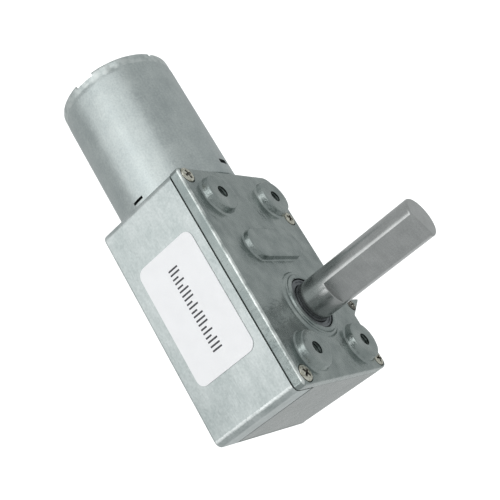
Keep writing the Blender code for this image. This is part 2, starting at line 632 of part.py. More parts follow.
def build_terminals(terminal_mat, carbon_mat, arm_mat):
    """Per side: a solder terminal through the end cap, a brush arm and a carbon brush."""
    for index, side in enumerate((-1.0, 1.0), 1):
        y = side * TERMINAL_OFFSET
        tag = bmesh.new()
        add_box(tag, (y - 0.25, -1.15, 58.4), (y + 0.25, 1.15, 64.9))
        terminal = finish_mesh(f"terminal_{index}", along_x(tag), terminal_mat)
        eye = turned(rod(0.55, -9.0, 9.0), 16)
        eye.transform(Matrix.Translation((63.8, MOTOR_Y, MOTOR_Z)) @ Matrix.Rotation(math.pi / 2, 4, "X"))
        cut(terminal, f"tool_terminal_eye_{index}", eye)
        arm = bmesh.new()
        outer = y + side * 0.6
        add_box(arm, (min(y, outer) + 0.03 * side, -1.0, BRUSH_X[0] - 0.2),
                (max(y, outer) + 0.03 * side, 1.0, BRUSH_X[1] + 0.8))
        finish_mesh(f"brush_arm_{index}", along_x(arm), arm_mat)
        brush = bmesh.new()
        inner, end = side * 2.75, side * 4.85
        add_box(brush, (min(inner, end), -1.0, BRUSH_X[0]), (max(inner, end), 1.0, BRUSH_X[1]))
        finish_mesh(f"brush_{index}", along_x(brush), carbon_mat)


def build_magnets(mat):
    for index, middle in enumerate((90.0, 270.0), 1):
        arc = [math.radians(middle + MAGNET_HALF_ANGLE * k / 8) for k in range(-8, 9)]
        inner, outer = MAGNET_R
        outline = [(outer * math.cos(a), outer * math.sin(a)) for a in arc]
        outline += [(inner * math.cos(a), inner * math.sin(a)) for a in reversed(arc)]
        finish_mesh(f"magnet_{index}", along_x(prism(outline, *MAGNET_X)), mat)


def pole_outline():
    """Three-pole lamination outline, one shoe per pole on a narrow neck."""
    points = []
    neck, inner = 1.5, 5.7
    for pole in range(POLES):
        middle = math.tau * pole / POLES
        c, s = math.cos(middle), math.sin(middle)
        local = [(2.6, -neck), (inner, -neck)]
        edge = math.radians(50.0)
        local.append((inner * math.cos(edge) + 0.9, -inner * math.sin(edge) - 0.6))
        for k in range(9):
            turn = -edge + 2 * edge * k / 8
            local.append((POLE_R * math.cos(turn), POLE_R * math.sin(turn)))
        local.append((inner * math.cos(edge) + 0.9, inner * math.sin(edge) + 0.6))
        local += [(inner, neck), (2.6, neck)]
        points += [(x * c - y * s, x * s + y * c) for x, y in local]
    return points


def build_rotor(shaft_mat, core_mat, copper_mat, worm_mat, commutator_mat):
    """Everything that turns with the motor shaft, the worm included."""
    worm_pitch = math.pi * WORM_MODULE
    shaft = finish_mesh("motor_shaft", along_x(turned([
        (0.0, 8.0), (MOTOR_SHAFT_R - 0.2, 8.0), (MOTOR_SHAFT_R, 8.3), (MOTOR_SHAFT_R, 61.9),
        (MOTOR_SHAFT_R - 0.2, 62.2), (0.0, 62.2)], SMALL_ROUND)), shaft_mat)
    thread = worm_mesh(worm_pitch, 5)
    thread.transform(Matrix.Translation((0.0, 0.0, PIN_X)))
    worm = finish_mesh("worm", along_x(thread), worm_mat)
    cut(worm, "tool_worm_bore", along_x(turned(rod(MOTOR_SHAFT_R + 0.07, 5.0, 25.0), SMALL_ROUND)))
    core = finish_mesh("rotor_core", along_x(prism(pole_outline(), *CORE_X)), core_mat)
    cut(core, "tool_core_bore", along_x(turned(rod(MOTOR_SHAFT_R + 0.07, 35.0, 58.0), SMALL_ROUND)))
    parts = [shaft, worm, core]
    for pole in range(POLES):
        coil = bmesh.new()
        add_box(coil, (3.0, -2.5, CORE_X[0] - 1.2), (5.4, 2.5, CORE_X[1] + 1.2))
        winding = finish_mesh(f"winding_{pole + 1}", place_pole(coil, pole), copper_mat)
        edge = winding.modifiers.new("rounding", "BEVEL")
        edge.width = 0.5 * MM
        edge.segments = 2
        gap = bmesh.new()
        add_box(gap, (1.0, -WINDING_BORE, CORE_X[0] - 0.2), (8.0, WINDING_BORE, CORE_X[1] + 0.2))
        cut(winding, f"tool_winding_gap_{pole + 1}", place_pole(gap, pole))
        parts.append(winding)
    sleeve = turned(tube(MOTOR_SHAFT_R + 0.07, 2.55, BRUSH_X[0] - 0.2, BRUSH_X[1]), SMALL_ROUND)
    commutator = finish_mesh("commutator", along_x(sleeve), commutator_mat)
    parts.append(commutator)
    hang_on(pivot("rotor_axis", PIN_X, MOTOR_Y, MOTOR_Z), *parts)


def place_pole(bm, pole):
    bm.transform(Matrix.Rotation(math.tau * pole / POLES, 4, "Z"))
    return along_x(bm)


def build_motor_bushes(mat):
    for name, outer, x0, x1 in (("motor_front_bush", 3.0, BOX_X1 - 0.8, 34.0),
                                ("motor_rear_bush", 2.5, 58.6, 61.5)):
        finish_mesh(name, along_x(turned(tube(MOTOR_SHAFT_R + 0.08, outer, x0, x1), SMALL_ROUND)), mat)


def build_motor_screws(mat):
    for index, side in enumerate((-1.0, 1.0), 1):
        profile = [(0.0, 28.2), (1.7, 28.2), (2.1, 28.6), (2.1, 29.45),
                   (0.95, 29.45), (0.95, 33.0), (0.0, 33.0)]
        bm = turned(profile, SMALL_ROUND, (side * MOTOR_SCREW_OFFSET, 0.0))
        finish_mesh(f"motor_screw_{index}", along_x(bm), mat)


def main():
    clear_scene()
    cast = material("die_cast_zinc", (0.42, 0.44, 0.44), 0.45, 0.85)
    sheet = material("galvanised_sheet", (0.72, 0.75, 0.75), 0.35, 0.9)
    can = material("plated_can", (0.66, 0.69, 0.69), 0.3, 0.95)
    steel = material("satin_steel", (0.48, 0.48, 0.48), 0.3, 1.0)
    bronze = material("sintered_bronze", (0.16, 0.15, 0.15), 0.5, 0.8)
    nickel = material("plated_screw", (0.62, 0.58, 0.46), 0.35, 0.9)
    brass = material("brass", (0.72, 0.55, 0.25), 0.3, 1.0)
    paper = material("label_stock", (0.93, 0.93, 0.93), 0.6, 0.0)
    cap = material("black_plastic", (0.05, 0.05, 0.05), 0.5, 0.0)
    copper = material("enamelled_copper", (0.55, 0.22, 0.08), 0.35, 0.9)
    ferrite = material("ferrite", (0.1, 0.1, 0.11), 0.6, 0.1)
    wheel = material("wheel_plastic", (0.85, 0.82, 0.72), 0.5, 0.0)

    build_case(cast)
    build_shell(sheet)
    build_cover(cast)
    build_label(paper)
    build_cover_screws(nickel)
    build_pins(steel, brass)
    build_worm_wheel(wheel, steel)
    build_idler(brass, steel)
    build_output(steel, brass, steel)
    build_bushes(bronze)
    build_can(can)
    build_end_cap(cap)
    build_terminals(brass, ferrite, brass)
    build_magnets(ferrite)
    build_rotor(steel, steel, copper, brass, copper)
    build_motor_bushes(bronze)
    build_motor_screws(nickel)


main()
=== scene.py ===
"""Looks of the worm geared DC motor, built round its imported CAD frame.

Lengths are millimetres in the row frame: +Z along the output shaft, +X towards the motor, +Y towards the
labelled side. Each mesh is turned into metres once, when it becomes an object.
"""
import math

import bmesh
import bpy
from mathutils import Matrix, Vector


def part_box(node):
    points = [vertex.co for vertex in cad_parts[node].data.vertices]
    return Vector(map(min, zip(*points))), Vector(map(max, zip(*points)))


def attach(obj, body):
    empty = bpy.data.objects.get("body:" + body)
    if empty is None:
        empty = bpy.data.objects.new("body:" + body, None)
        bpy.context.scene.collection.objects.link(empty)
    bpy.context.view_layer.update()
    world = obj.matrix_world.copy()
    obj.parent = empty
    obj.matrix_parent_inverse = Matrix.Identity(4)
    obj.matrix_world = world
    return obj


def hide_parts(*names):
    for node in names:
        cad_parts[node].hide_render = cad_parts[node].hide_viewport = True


MM = 0.001
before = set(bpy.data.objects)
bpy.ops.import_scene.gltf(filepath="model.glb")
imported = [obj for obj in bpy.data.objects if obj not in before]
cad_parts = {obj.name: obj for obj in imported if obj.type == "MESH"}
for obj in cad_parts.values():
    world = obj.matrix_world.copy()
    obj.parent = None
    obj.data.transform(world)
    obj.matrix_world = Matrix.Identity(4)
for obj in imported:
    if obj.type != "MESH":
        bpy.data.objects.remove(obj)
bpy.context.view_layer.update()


def span(node):
    """Lowest and highest corners of a CAD node, in millimetres."""
    low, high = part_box(node)
    return low / MM, high / MM


# ---- sizes that come from the frame ----------------------
cover_low, cover_high = span("front_cover")
shell_low, shell_high = span("rear_shell")
can_low, can_high = span("motor_can")
shaft_low, shaft_high = span("output_shaft")
label_low, label_high = span("side_label")
cap_low, cap_high = span("motor_end_cap")

BOX_X0, BOX_X1 = cover_low.x, cover_high.x
BOX_Y1 = cover_high.y
DRAFT = 0.8                           # the case's far side leans in by this much at the back
BOX_Y0 = shell_low.y - DRAFT
BOSS_TOP_Z = cover_high.z
BOSS_RISE, COVER_THICK = 1.6, 2.1
FACE_Z = BOSS_TOP_Z - BOSS_RISE       # the cover's face
COVER_Z = FACE_Z - COVER_THICK        # the cover's underside
SEAM_Z = shell_high.z                 # the shell stops here, short of the cover

# ---- cover -----------------------------------------------
CORNER_R, MOTOR_CORNER_R = 1.3, 3.0
LABEL_CORNER_R = 1.0                  # the cover's two corners beside the label
EAR_X0, EAR_X1, EAR_ROOT_R = -3.35, 0.6, 0.5
EAR_TIP = (0.45, cover_low.y - 0.69, 0.3)   # its corner before it is rounded, and the rounding
EDGE_R = 0.62                         # cast rounding of the cover's front edge
BOSS_SITES = [(x, y) for x in (-9.4, 24.6) for y in (-9.25, 9.25)]
BOSS_R, BOSS_FILLET, BOSS_EDGE, BOSS_TAPER = 4.1, 0.45, 0.34, 0.25
TAP_R, TAP_FLOOR_Z, THREAD_PITCH, THREAD_DEPTH = 1.25, 18.4, 0.5, 0.16
TAP_BEVEL = 0.08
SUMP_R, SUMP_Z = 2.8, 17.7            # hollow behind each boss
COLLAR_R, COLLAR_TOP_R, COLLAR_BORE_R = 7.1, 6.35, 5.4
COLLAR_FILLET, COLLAR_ROUND, COLLAR_STEP = 0.35, 0.3, 0.25
COLLAR_TOP_Z, COLLAR_UNDER_Z, COLLAR_HUB_R = FACE_Z + 0.9, COVER_Z - 1.3, 7.0
PAD_X, PAD_Y, PAD_R, PAD_BASE = 13.416, (-4.6, 6.6), 3.2, 0.1
PAD_TOP_Z, PAD_FILLET, PAD_EDGE, PAD_TAPER = FACE_Z + 1.2, 0.3, 0.26, 0.12
PAD_LEAN = 0.9                        # its labelled end slopes back by this much
PIN_SITES, PIN_BORE_R = ((PAD_X, 7.4), (PAD_X, -4.0)), 1.15
SCREW_SITES = ((29.2, 14.85), (20.3, -12.6), (-0.95, -15.9), (-13.0, 14.8), (-13.2, -13.1))
EAR_SCREW = 2                         # its index
SCREW_HEAD_R = (1.6, 1.5, 1.15, 1.6, 1.35)
SCREW_SHANK_R = 0.7
SCREW_GAP = 0.2                       # between a head and its seat's wall
SCREW_START, SCREW_TURN = 20.0, 37.0  # degrees: the first recess, and from each recess to the next
SCREW_SEAT_Z, SCREW_TIP_Z = FACE_Z - 0.6, 14.0

# ---- case and shell --------------------------------------
SHEET = 0.6                           # thickness of the shell's sheet
FIT = 0.15                            # clearance between pieces that touch in the real object
STRIP_Y = 11.4                        # the sheet's strip round each end stops here
CASE_STEP_Y = STRIP_Y - 0.5           # the case steps out again here, just past the sheet's strips
BEND_R, BACK_BEND_R, FAR_BEND_R = 1.4, 0.5, 2.0
BEND_HIGHLIGHT_DEPTH = 0.28               # the labelled end's bend carries a painted highlight this far round
EAR_FLOOR_Z = 10.0
LABEL_MARGIN, LABEL_R = 0.3, 1.8
TICK_GROUPS, TICK_PITCH, TICK_HEIGHT, TICK_STROKE = 10, 1.78, 2.3, 0.34
WALL, CASE_FLOOR_Z = 1.4, 2.1
COLUMN_R = 1.9                        # screw columns inside the case
REAR_BUSH_BORE_R = 4.85
MOTOR_SCREW_OFFSET, MOTOR_SCREW_BORE_R, MOTOR_NOSE_BORE_R = 7.0, 1.3, 3.2

# ---- shaft -----------------------------------------------
SHAFT_R = (shaft_high.x - shaft_low.x) / 2
SHAFT_TIP_Z = shaft_high.z
SHAFT_FLAT = 3.0                      # distance from the axis to the flat
SHAFT_FLAT_Z = FACE_Z + 6.5           # the flat starts here
SHAFT_FLAT_ANGLE = 126.0              # the way it faces, from +X towards +Y
SHAFT_EDGE_R, SHAFT_TIP_R, STEP_R = 0.14, 0.45, 0.16
JOURNAL_R, JOURNAL_Z0, JOURNAL_Z1 = 3.0, shaft_low.z, 2.9
CLIP_Z, CLIP_GROOVE = COVER_Z - 3.2, 0.35

# ---- motor -----------------------------------------------
MOTOR_Y = (can_low.y + can_high.y) / 2
MOTOR_Z = (can_low.z + can_high.z) / 2
CAN_R = (can_high.z - can_low.z) / 2
CAN_WALL = 0.8
CAN_INNER_R = CAN_R - CAN_WALL
CAN_X0, CAN_X1 = can_low.x, can_high.x
CAN_FRONT_ROUND, CAN_REAR_ROUND = 0.9, 0.55
CAN_SCREW_BORE_R = 1.15
# Cooling slots: angle round the can, X, half width.
VENTS = ((-4.0, 33.3, 0.3), (98.0, 34.0, 0.5), (176.0, 33.3, 0.3), (278.0, 34.0, 0.5))
RIM_NOTCHES = ((8.0, 4.4), (84.0, 1.2), (188.0, 4.4), (264.0, 1.2))  # angle round the can, width
DENT_ANGLES = (38.0, 59.0, 140.0, 218.0, 250.0, 320.0)               # staking dents near the rear rim
CAP_GROOVE_R, CAP_GROOVE_DEPTH = (9.0, 9.8), 0.35
CAP_HUB_R, CAP_SLEEVE_R, CAP_BUSH_BORE_R, CAP_HOLE_R = 4.1, 3.4, 2.65, 1.3
TERMINAL_OFFSET, TERMINAL_EYE_R = 5.0, 0.55   # the offset is from the can's axis

SMOOTH_ANGLE = 32.0                   # a sharper edge than this stays sharp in shading
SUPPORT = 0.05                        # width of the strip that keeps a flat face flat beside a rounding
FINE_ROUND, ROUND, SMALL_ROUND = 128, 72, 40   # points round a circle


# ---- outlines and profiles -------------------------------
def ring_points(radius, count=ROUND, centre=(0.0, 0.0)):
    """Outline of a circle."""
    return [(centre[0] + radius * math.cos(math.tau * i / count),
             centre[1] + radius * math.sin(math.tau * i / count)) for i in range(count)]


def pad_points(radius, steps=28):
    """Outline of the oblong pad, whose straight sides run along Y and whose labelled end leans back."""
    ends = (PAD_Y[0], PAD_Y[1] - PAD_LEAN * (PAD_R + 0.65 - radius))
    half = [math.pi * k / steps for k in range(steps + 1)]
    upper = [(PAD_X + radius * math.cos(a), ends[1] + radius * math.sin(a)) for a in half]
    return upper + [(PAD_X - radius * math.cos(a), ends[0] - radius * math.sin(a)) for a in half]


def rounded_outline(corners, inset=0.0, steps=8):
    """Closed outline from (x, y, radius) corners in anticlockwise order, moved inwards by inset."""
    points = []
    for i, (x, y, radius) in enumerate(corners):
        here = Vector((x, y))
        into = (here - Vector(corners[i - 1][:2])).normalized()
        out = (Vector(corners[(i + 1) % len(corners)][:2]) - here).normalized()
        left_in, left_out = Vector((-into.y, into.x)), Vector((-out.y, out.x))
        here = here + (left_in + left_out) * (inset / (1.0 + left_in.dot(left_out)))
        turn = math.atan2(into.x * out.y - into.y * out.x, into.dot(out))
        radius = 0.0 if radius == 0.0 else max(radius - math.copysign(inset, turn), 0.03)
        if radius == 0.0:
            points.append((here.x, here.y))
            continue
        start = here - into * (radius * math.tan(abs(turn) / 2))
        centre = start + left_in * math.copysign(radius, turn)
        arm = start - centre
        for k in range(steps + 1):
            swung = Matrix.Rotation(turn * k / steps, 2) @ arm
            points.append((centre.x + swung.x, centre.y + swung.y))
    return points


def arc(centre_r, centre_z, radius, start, end, steps=6):
    """Points (radius, z) of a profile along an arc, from start to end degrees."""
    angles = [math.radians(start + (end - start) * k / steps) for k in range(steps + 1)]
    return [(centre_r + radius * math.cos(a), centre_z + radius * math.sin(a)) for a in angles]


# ---- mesh building ---------------------------------------
def add_loop(bm, points, z):
    """Vertices round an outline at one height."""
    return [bm.verts.new((x, y, z)) for x, y in points]


def skin(bm, loops):
    """Join successive loops of equal length with quads."""
    for low, high in zip(loops, loops[1:]):
        for i in range(len(low)):
            j = (i + 1) % len(low)
            bm.faces.new((low[i], low[j], high[j], high[i]))


def sweep(bm, outline_at, profile):
    """Skin a profile of (size, z) pairs, where outline_at gives the outline of each size."""
    loops = [add_loop(bm, outline_at(size), z) for size, z in profile]
    skin(bm, loops)
    return loops


def fill_between(bm, loops):
    """Triangles over a flat region, bounded by its outer loop and by the loops of what stands in it."""
    edges = []
    for ring in loops:
        for a, b in zip(ring, ring[1:] + ring[:1]):
            edges.append(bm.edges.get((a, b)) or bm.edges.new((a, b)))
    bmesh.ops.triangle_fill(bm, use_beauty=True, use_dissolve=False, edges=edges)


def solid(outline_at, profile):
    """A closed body from a profile, with a flat face over each end."""
    bm = bmesh.new()
    loops = sweep(bm, outline_at, profile)
    bm.faces.new(loops[0])
    bm.faces.new(loops[-1])
    return bm


def turned(profile, count=ROUND, centre=(0.0, 0.0)):
    """A closed body of revolution, from a profile of (radius, z) whose ends lie on flat faces."""
    return solid(lambda radius: ring_points(radius, count, centre), profile)


def turned_ring(profile, count=ROUND, centre=(0.0, 0.0)):
    """A body of revolution with a bore, from a closed profile of (radius, z)."""
    bm = bmesh.new()
    loops = [add_loop(bm, ring_points(radius, count, centre), z) for radius, z in profile]
    skin(bm, loops + loops[:1])
    return bm


def cylinder(radius, z0, z1, count=SMALL_ROUND, centre=(0.0, 0.0)):
    """A round bar or cutter."""
    return turned([(radius, z0), (radius, z1)], count, centre)


def prism(points, z0, z1):
    """An outline drawn straight up from z0 to z1."""
    return solid(lambda size: points, [(0.0, z0), (0.0, z1)])


def box(low, high):
    """A block between two corners."""
    bm = bmesh.new()
    size = Vector(high) - Vector(low)
    middle = (Vector(high) + Vector(low)) / 2
    bmesh.ops.create_cube(bm, size=1.0, matrix=Matrix.Translation(middle) @ Matrix.Diagonal((*size, 1.0)))
    return bm


def merge(bodies):
    """Several bmeshes as one."""
    whole = bmesh.new()
    for body in bodies:
        mesh = bpy.data.meshes.new("scratch")
        body.to_mesh(mesh)
        body.free()
        whole.from_mesh(mesh)
        bpy.data.meshes.remove(mesh)
    return whole


def moved(bm, matrix):
    """The same bmesh, after a transform."""
    bm.transform(matrix)
    return bm


def along_x(bm):
    """Lay a body made along local Z on the can's axis, with its local X pointing to +Y."""
    return moved(bm, Matrix(((0, 0, 1, 0), (1, 0, 0, MOTOR_Y), (0, 1, 0, MOTOR_Z), (0, 0, 0, 1))))


def on_label_side(bm, y):
    """Stand a body made on local XY up against the labelled side: its local Y points to -Z."""
    return moved(bm, Matrix(((1, 0, 0, 0), (0, 0, 1, y), (0, -1, 0, 0), (0, 0, 0, 1))))


def scratch_object(bm):
    """A cleaned temporary object for a Boolean."""
    bmesh.ops.remove_doubles(bm, verts=bm.verts, dist=1e-5)
    bmesh.ops.recalc_face_normals(bm, faces=bm.faces)
    mesh = bpy.data.meshes.new("scratch")
    bm.to_mesh(mesh)
    bm.free()
    obj = bpy.data.objects.new("scratch", mesh)
    bpy.context.scene.collection.objects.link(obj)
    return obj


def carve(target, tool, operation="DIFFERENCE"):
    """The Boolean of two closed bmeshes, as a new bmesh."""
    first, second = scratch_object(target), scratch_object(tool)
    modifier = first.modifiers.new("carve", "BOOLEAN")
    modifier.operation = operation
    modifier.object = second
    bpy.context.view_layer.update()
    shaped = first.evaluated_get(bpy.context.evaluated_depsgraph_get())
    result = bmesh.new()
    result.from_mesh(shaped.to_mesh())
    shaped.to_mesh_clear()
    for obj in (first, second):
        mesh = obj.data
        bpy.data.objects.remove(obj)
        bpy.data.meshes.remove(mesh)
    return result


def piece(name, bm, mat, body, node):
    """Turn a bmesh in millimetres into a piece that rides on a body in place of its CAD node."""
    bmesh.ops.remove_doubles(bm, verts=bm.verts, dist=1e-5)
    bmesh.ops.dissolve_degenerate(bm, edges=bm.edges, dist=1e-6)
    bmesh.ops.recalc_face_normals(bm, faces=bm.faces)
    bm.transform(Matrix.Scale(MM, 4))
    mesh = bpy.data.meshes.new(name)
    bm.to_mesh(mesh)
    bm.free()
    mesh.shade_smooth()
    mesh.set_sharp_from_angle(angle=math.radians(SMOOTH_ANGLE))
    mesh.materials.append(mat)
    obj = bpy.data.objects.new(name, mesh)
    obj.modifiers.new("flat_faces_stay_flat", "WEIGHTED_NORMAL").keep_sharp = True
    bpy.context.scene.collection.objects.link(obj)
    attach(obj, body)
    if node:
        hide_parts(node)
    return obj


def darken(obj, dark, chosen):
    """Give a second, dark material to the faces that chosen picks by their place and normal."""
    obj.data.materials.append(dark)
    for face in obj.data.polygons:
        if chosen(face.center / MM, face.normal):
            face.material_index = 1


# ---- materials -------------------------------------------
class Finish:
    """A procedural metal or plastic: helpers that add texture nodes round one Principled shader."""

    def __init__(self, name, metallic, specular=0.5):
        self.mat = bpy.data.materials.new(name)
        self.mat.use_nodes = True
        self.tree = self.mat.node_tree
        self.shader = self.tree.nodes["Principled BSDF"]
        self.shader.inputs["Metallic"].default_value = metallic
        self.shader.inputs["Specular IOR Level"].default_value = specular
        self.place = self.tree.nodes.new("ShaderNodeTexCoord").outputs["Object"]

    def node(self, kind, values, links):
        """A shader node with some of its inputs set and some linked."""
        node = self.tree.nodes.new(kind)
        for name, value in values.items():
            node.inputs[name].default_value = value
        for name, output in links.items():
            self.tree.links.new(output, node.inputs[name])
        return node

    def texture(self, kind, size, stretch, **values):
        """A texture with features of about size millimetres, drawn out by stretch along each axis."""
        scale = [1.0 / (size * MM * s) for s in stretch]
        mapping = self.node("ShaderNodeMapping", {"Scale": scale}, {"Vector": self.place})
        return self.node(kind, {"Scale": 1.0, **values}, {"Vector": mapping.outputs["Vector"]})

    def noise(self, size, detail=3.0, stretch=(1.0, 1.0, 1.0), roughness=0.5):
        """A cloudy grey."""
        cloud = self.texture("ShaderNodeTexNoise", size, stretch, Detail=detail, Roughness=roughness)
        return cloud.outputs["Fac"]

    def spots(self, size, stretch=(1.0, 1.0, 1.0)):
        """A different grey for each crystal."""
        crystals = self.texture("ShaderNodeTexVoronoi", size, stretch)
        return self.node("ShaderNodeSeparateColor", {}, {"Color": crystals.outputs["Color"]}).outputs["Red"]

    def stretch_range(self, value, low, high, source=(0.3, 0.7)):
        """The value mapped from the source range to low and high, and held there outside it."""
        ends = {"From Min": source[0], "From Max": source[1], "To Min": low, "To Max": high}
        return self.node("ShaderNodeMapRange", ends, {"Value": value}).outputs["Result"]

    def blend(self, first, second, weight):
        """Weighted mean of two greys."""
        mixed = self.node("ShaderNodeMix", {"Factor": weight}, {"A": first, "B": second})
        return mixed.outputs["Result"]

    def position(self, axis, start, end):
        """0 to 1 between two positions in millimetres along an axis."""
        place = self.node("ShaderNodeSeparateXYZ", {}, {"Vector": self.place})
        return self.stretch_range(place.outputs[axis], 0.0, 1.0, (start * MM, end * MM))

    def combine(self, first, second, operation):
        """Two greys through a math operation, such as MULTIPLY or MAXIMUM."""
        node = self.node("ShaderNodeMath", {}, {0: first, 1: second})
        node.operation = operation
        return node.outputs["Value"]

    def colour(self, value, dark, light, source=(0.3, 0.7), bright=None):
        """Base colour from dark to light, and on to bright where the value has been raised to 1."""
        ramp = self.node("ShaderNodeValToRGB", {}, {"Fac": value})
        ends = ramp.color_ramp.elements
        ends[0].position, ends[1].position = source
        ends[0].color, ends[1].color = (*dark, 1.0), (*light, 1.0)
        if bright:
            ends.new(1.0).color = (*bright, 1.0)
        self.tree.links.new(ramp.outputs["Color"], self.shader.inputs["Base Color"])

    def roughness(self, value, low, high):
        """Surface roughness from low to high."""
        self.tree.links.new(self.stretch_range(value, low, high), self.shader.inputs["Roughness"])

    def bump(self, *layers):
        """Bump from (height value, depth in millimetres) layers, which add up."""
        below = {}
        for value, depth in layers:
            node = self.node("ShaderNodeBump", {"Distance": depth * MM}, {"Height": value, **below})
            below = {"Normal": node.outputs["Normal"]}
        self.tree.links.new(below["Normal"], self.shader.inputs["Normal"])


def cast_zinc(name, dark, light, relief):
    """Die-cast zinc: cloudy flow marks, a fine grain, painted shade on the labelled side's wall, and a
    painted highlight on its worn front edge.
    """
    f = Finish(name, 0.94)
    clouds = f.noise(3.2, 4.0, roughness=0.6)
    grain = f.noise(0.28, 3.0)
    tone = f.blend(f.blend(clouds, grain, 0.22), f.noise(6.0, 2.0), 0.3)
    # Painted shade: the labelled side's wall, below the front edge, is darkened.
    labelled_side = f.position("Y", BOX_Y1 - 0.15, BOX_Y1 - 0.05)
    below_edge = f.position("Z", FACE_Z - 0.5, FACE_Z - 0.6)
    wall = f.combine(labelled_side, below_edge, "MULTIPLY")
    tone = f.combine(tone, f.stretch_range(wall, 1.0, 0.84, (0.0, 1.0)), "MULTIPLY")
    # Painted highlight along the labelled side's front edge, partly as edge wear.
    front = f.position("Z", FACE_Z - 0.6, FACE_Z - 0.45)
    side = f.position("Y", BOX_Y1 - 0.62, BOX_Y1 - 0.45)
    worn_edge_highlight = f.combine(f.combine(front, side, "MULTIPLY"), clouds, "MULTIPLY")
    worn_edge_highlight = f.stretch_range(worn_edge_highlight, 0.0, 1.0, (0.0, 0.6))
    f.colour(f.combine(tone, worn_edge_highlight, "MAXIMUM"), dark, light, (0.34, 0.66), (0.90, 0.94, 0.92))
    f.roughness(f.blend(clouds, grain, 0.5), 0.16, 0.36)
    f.bump((f.noise(1.5, 3.0), 0.15 * relief), (f.noise(0.6, 2.0), 0.022 * relief),
           (grain, 0.006 * relief))
    return f.mat


def shade_metal(name, dark, light):
    """Metal in a recess, coloured dark as painted shade."""
    f = Finish(name, 0.8)
    film = f.noise(0.5, 3.0)
    f.colour(film, dark, light)
    f.roughness(film, 0.25, 0.45)
    f.bump((film, 0.01))
    return f.mat


def galvanised_sheet():
    """Zinc-coated sheet: soft crystals, brushed streaks along the gearbox, and a painted highlight on the
    labelled end's bend.
    """
    f = Finish("galvanised_sheet", 0.95)
    streaks = f.noise(0.25, 4.0, (8.0, 1.0, 1.0))
    crystals = f.spots(0.4, (2.0, 1.0, 1.0))
    clouds = f.noise(4.0, 4.0, (2.2, 1.0, 1.0))
    speckle = f.noise(0.4, 3.0)
    tone = f.blend(f.blend(f.blend(streaks, speckle, 0.55), crystals, 0.1), clouds, 0.55)
    # Painted highlight: the labelled end's bend is lightened towards bright.
    end = f.position("X", BOX_X0 + BEND_R + 0.15, BOX_X0 + BEND_R - 0.1)
    side = f.position("Y", BOX_Y1 - BEND_HIGHLIGHT_DEPTH, BOX_Y1 - 0.1)
    bend = f.combine(f.combine(end, side, "MULTIPLY"), speckle, "MULTIPLY")
    bend = f.stretch_range(bend, 0.0, 1.0, (0.0, 0.55))
    f.colour(f.combine(tone, bend, "MAXIMUM"), (0.42, 0.47, 0.465), (0.70, 0.745, 0.74), (0.36, 0.64),
             (0.88, 0.92, 0.91))
    f.roughness(f.blend(streaks, clouds, 0.7), 0.28, 0.46)
    f.bump((streaks, 0.004), (clouds, 0.06), (speckle, 0.014))
    return f.mat


def plated_can():
    """Satin nickel plate over drawn steel: drawing marks, a fine orange peel, and a rear band lightened,
    partly as burnish and partly as a painted highlight.
    """
    f = Finish("plated_can", 0.96)
    drawing = f.noise(0.35, 3.0, (20.0, 1.0, 1.0))
    peel = f.noise(0.36, 4.0)
    clouds = f.noise(4.5, 3.0)
    tone = f.blend(f.blend(drawing, peel, 0.75), clouds, 0.4)
    # The rear band is lightened, partly as burnish and partly as a painted highlight.
    band = f.combine(f.position("X", CAN_X1 - 3.2, CAN_X1 - 2.0), f.noise(1.2, 3.0), "MULTIPLY")
    band = f.stretch_range(band, 0.0, 0.8, (0.0, 0.62))
    f.colour(f.combine(tone, band, "MAXIMUM"), (0.46, 0.51, 0.51), (0.62, 0.67, 0.66), (0.38, 0.62),
             (0.80, 0.84, 0.83))
    f.roughness(f.blend(peel, clouds, 0.5), 0.28, 0.42)
    f.bump((drawing, 0.002), (peel, 0.022), (f.noise(1.2, 3.0), 0.02), (clouds, 0.03))
    return f.mat


def turned_steel():
    """Ground steel with fine marks round it and a matt speckle, darkened towards the gearbox as painted
    shade.
    """
    f = Finish("turned_steel", 0.97)
    rings = f.noise(0.12, 3.0, (30.0, 30.0, 1.0))
    speckle = f.noise(0.25, 3.0)
    clouds = f.noise(2.4, 4.0)
    # Painted shade: the steel darkens towards the gearbox.
    height = f.position("Z", SHAFT_FLAT_Z - 3.0, SHAFT_FLAT_Z + 9.0)
    shade_towards_gearbox = f.stretch_range(height, 0.80, 1.04, (0.0, 1.0))
    tone = f.combine(f.blend(f.blend(rings, speckle, 0.6), clouds, 0.4), shade_towards_gearbox, "MULTIPLY")
    f.colour(tone, (0.38, 0.39, 0.387), (0.55, 0.56, 0.555), (0.26, 0.66))
    f.roughness(f.blend(speckle, clouds, 0.3), 0.18, 0.25)
    f.bump((rings, 0.001), (speckle, 0.002))
    return f.mat


def motor_steel():
    """The same steel for what turns about X."""
    f = Finish("motor_steel", 0.97)
    rings = f.noise(0.12, 3.0, (1.0, 30.0, 30.0))
    f.colour(f.blend(rings, f.noise(1.6, 3.0), 0.5), (0.34, 0.345, 0.34), (0.50, 0.51, 0.50))
    f.roughness(rings, 0.26, 0.42)
    f.bump((rings, 0.002))
    return f.mat


def sintered_bronze():
    """Oil-darkened porous bush metal."""
    f = Finish("sintered_bronze", 0.85)
    pores = f.noise(0.22, 5.0, roughness=0.7)
    tone = f.blend(pores, f.noise(1.5, 3.0), 0.4)
    f.colour(tone, (0.12, 0.13, 0.14), (0.32, 0.34, 0.355), (0.35, 0.68))
    f.roughness(pores, 0.35, 0.55)
    f.bump((pores, 0.02))
    return f.mat


def plated_screw():
    """Pale nickel plate, a little yellow and worn at random."""
    f = Finish("plated_screw", 0.95)
    wear = f.noise(0.45, 4.0, roughness=0.65)
    f.colour(wear, (0.36, 0.35, 0.27), (0.84, 0.83, 0.74), (0.36, 0.60))
    f.roughness(wear, 0.26, 0.46)
    f.bump((f.noise(0.18, 3.0), 0.006))
    return f.mat


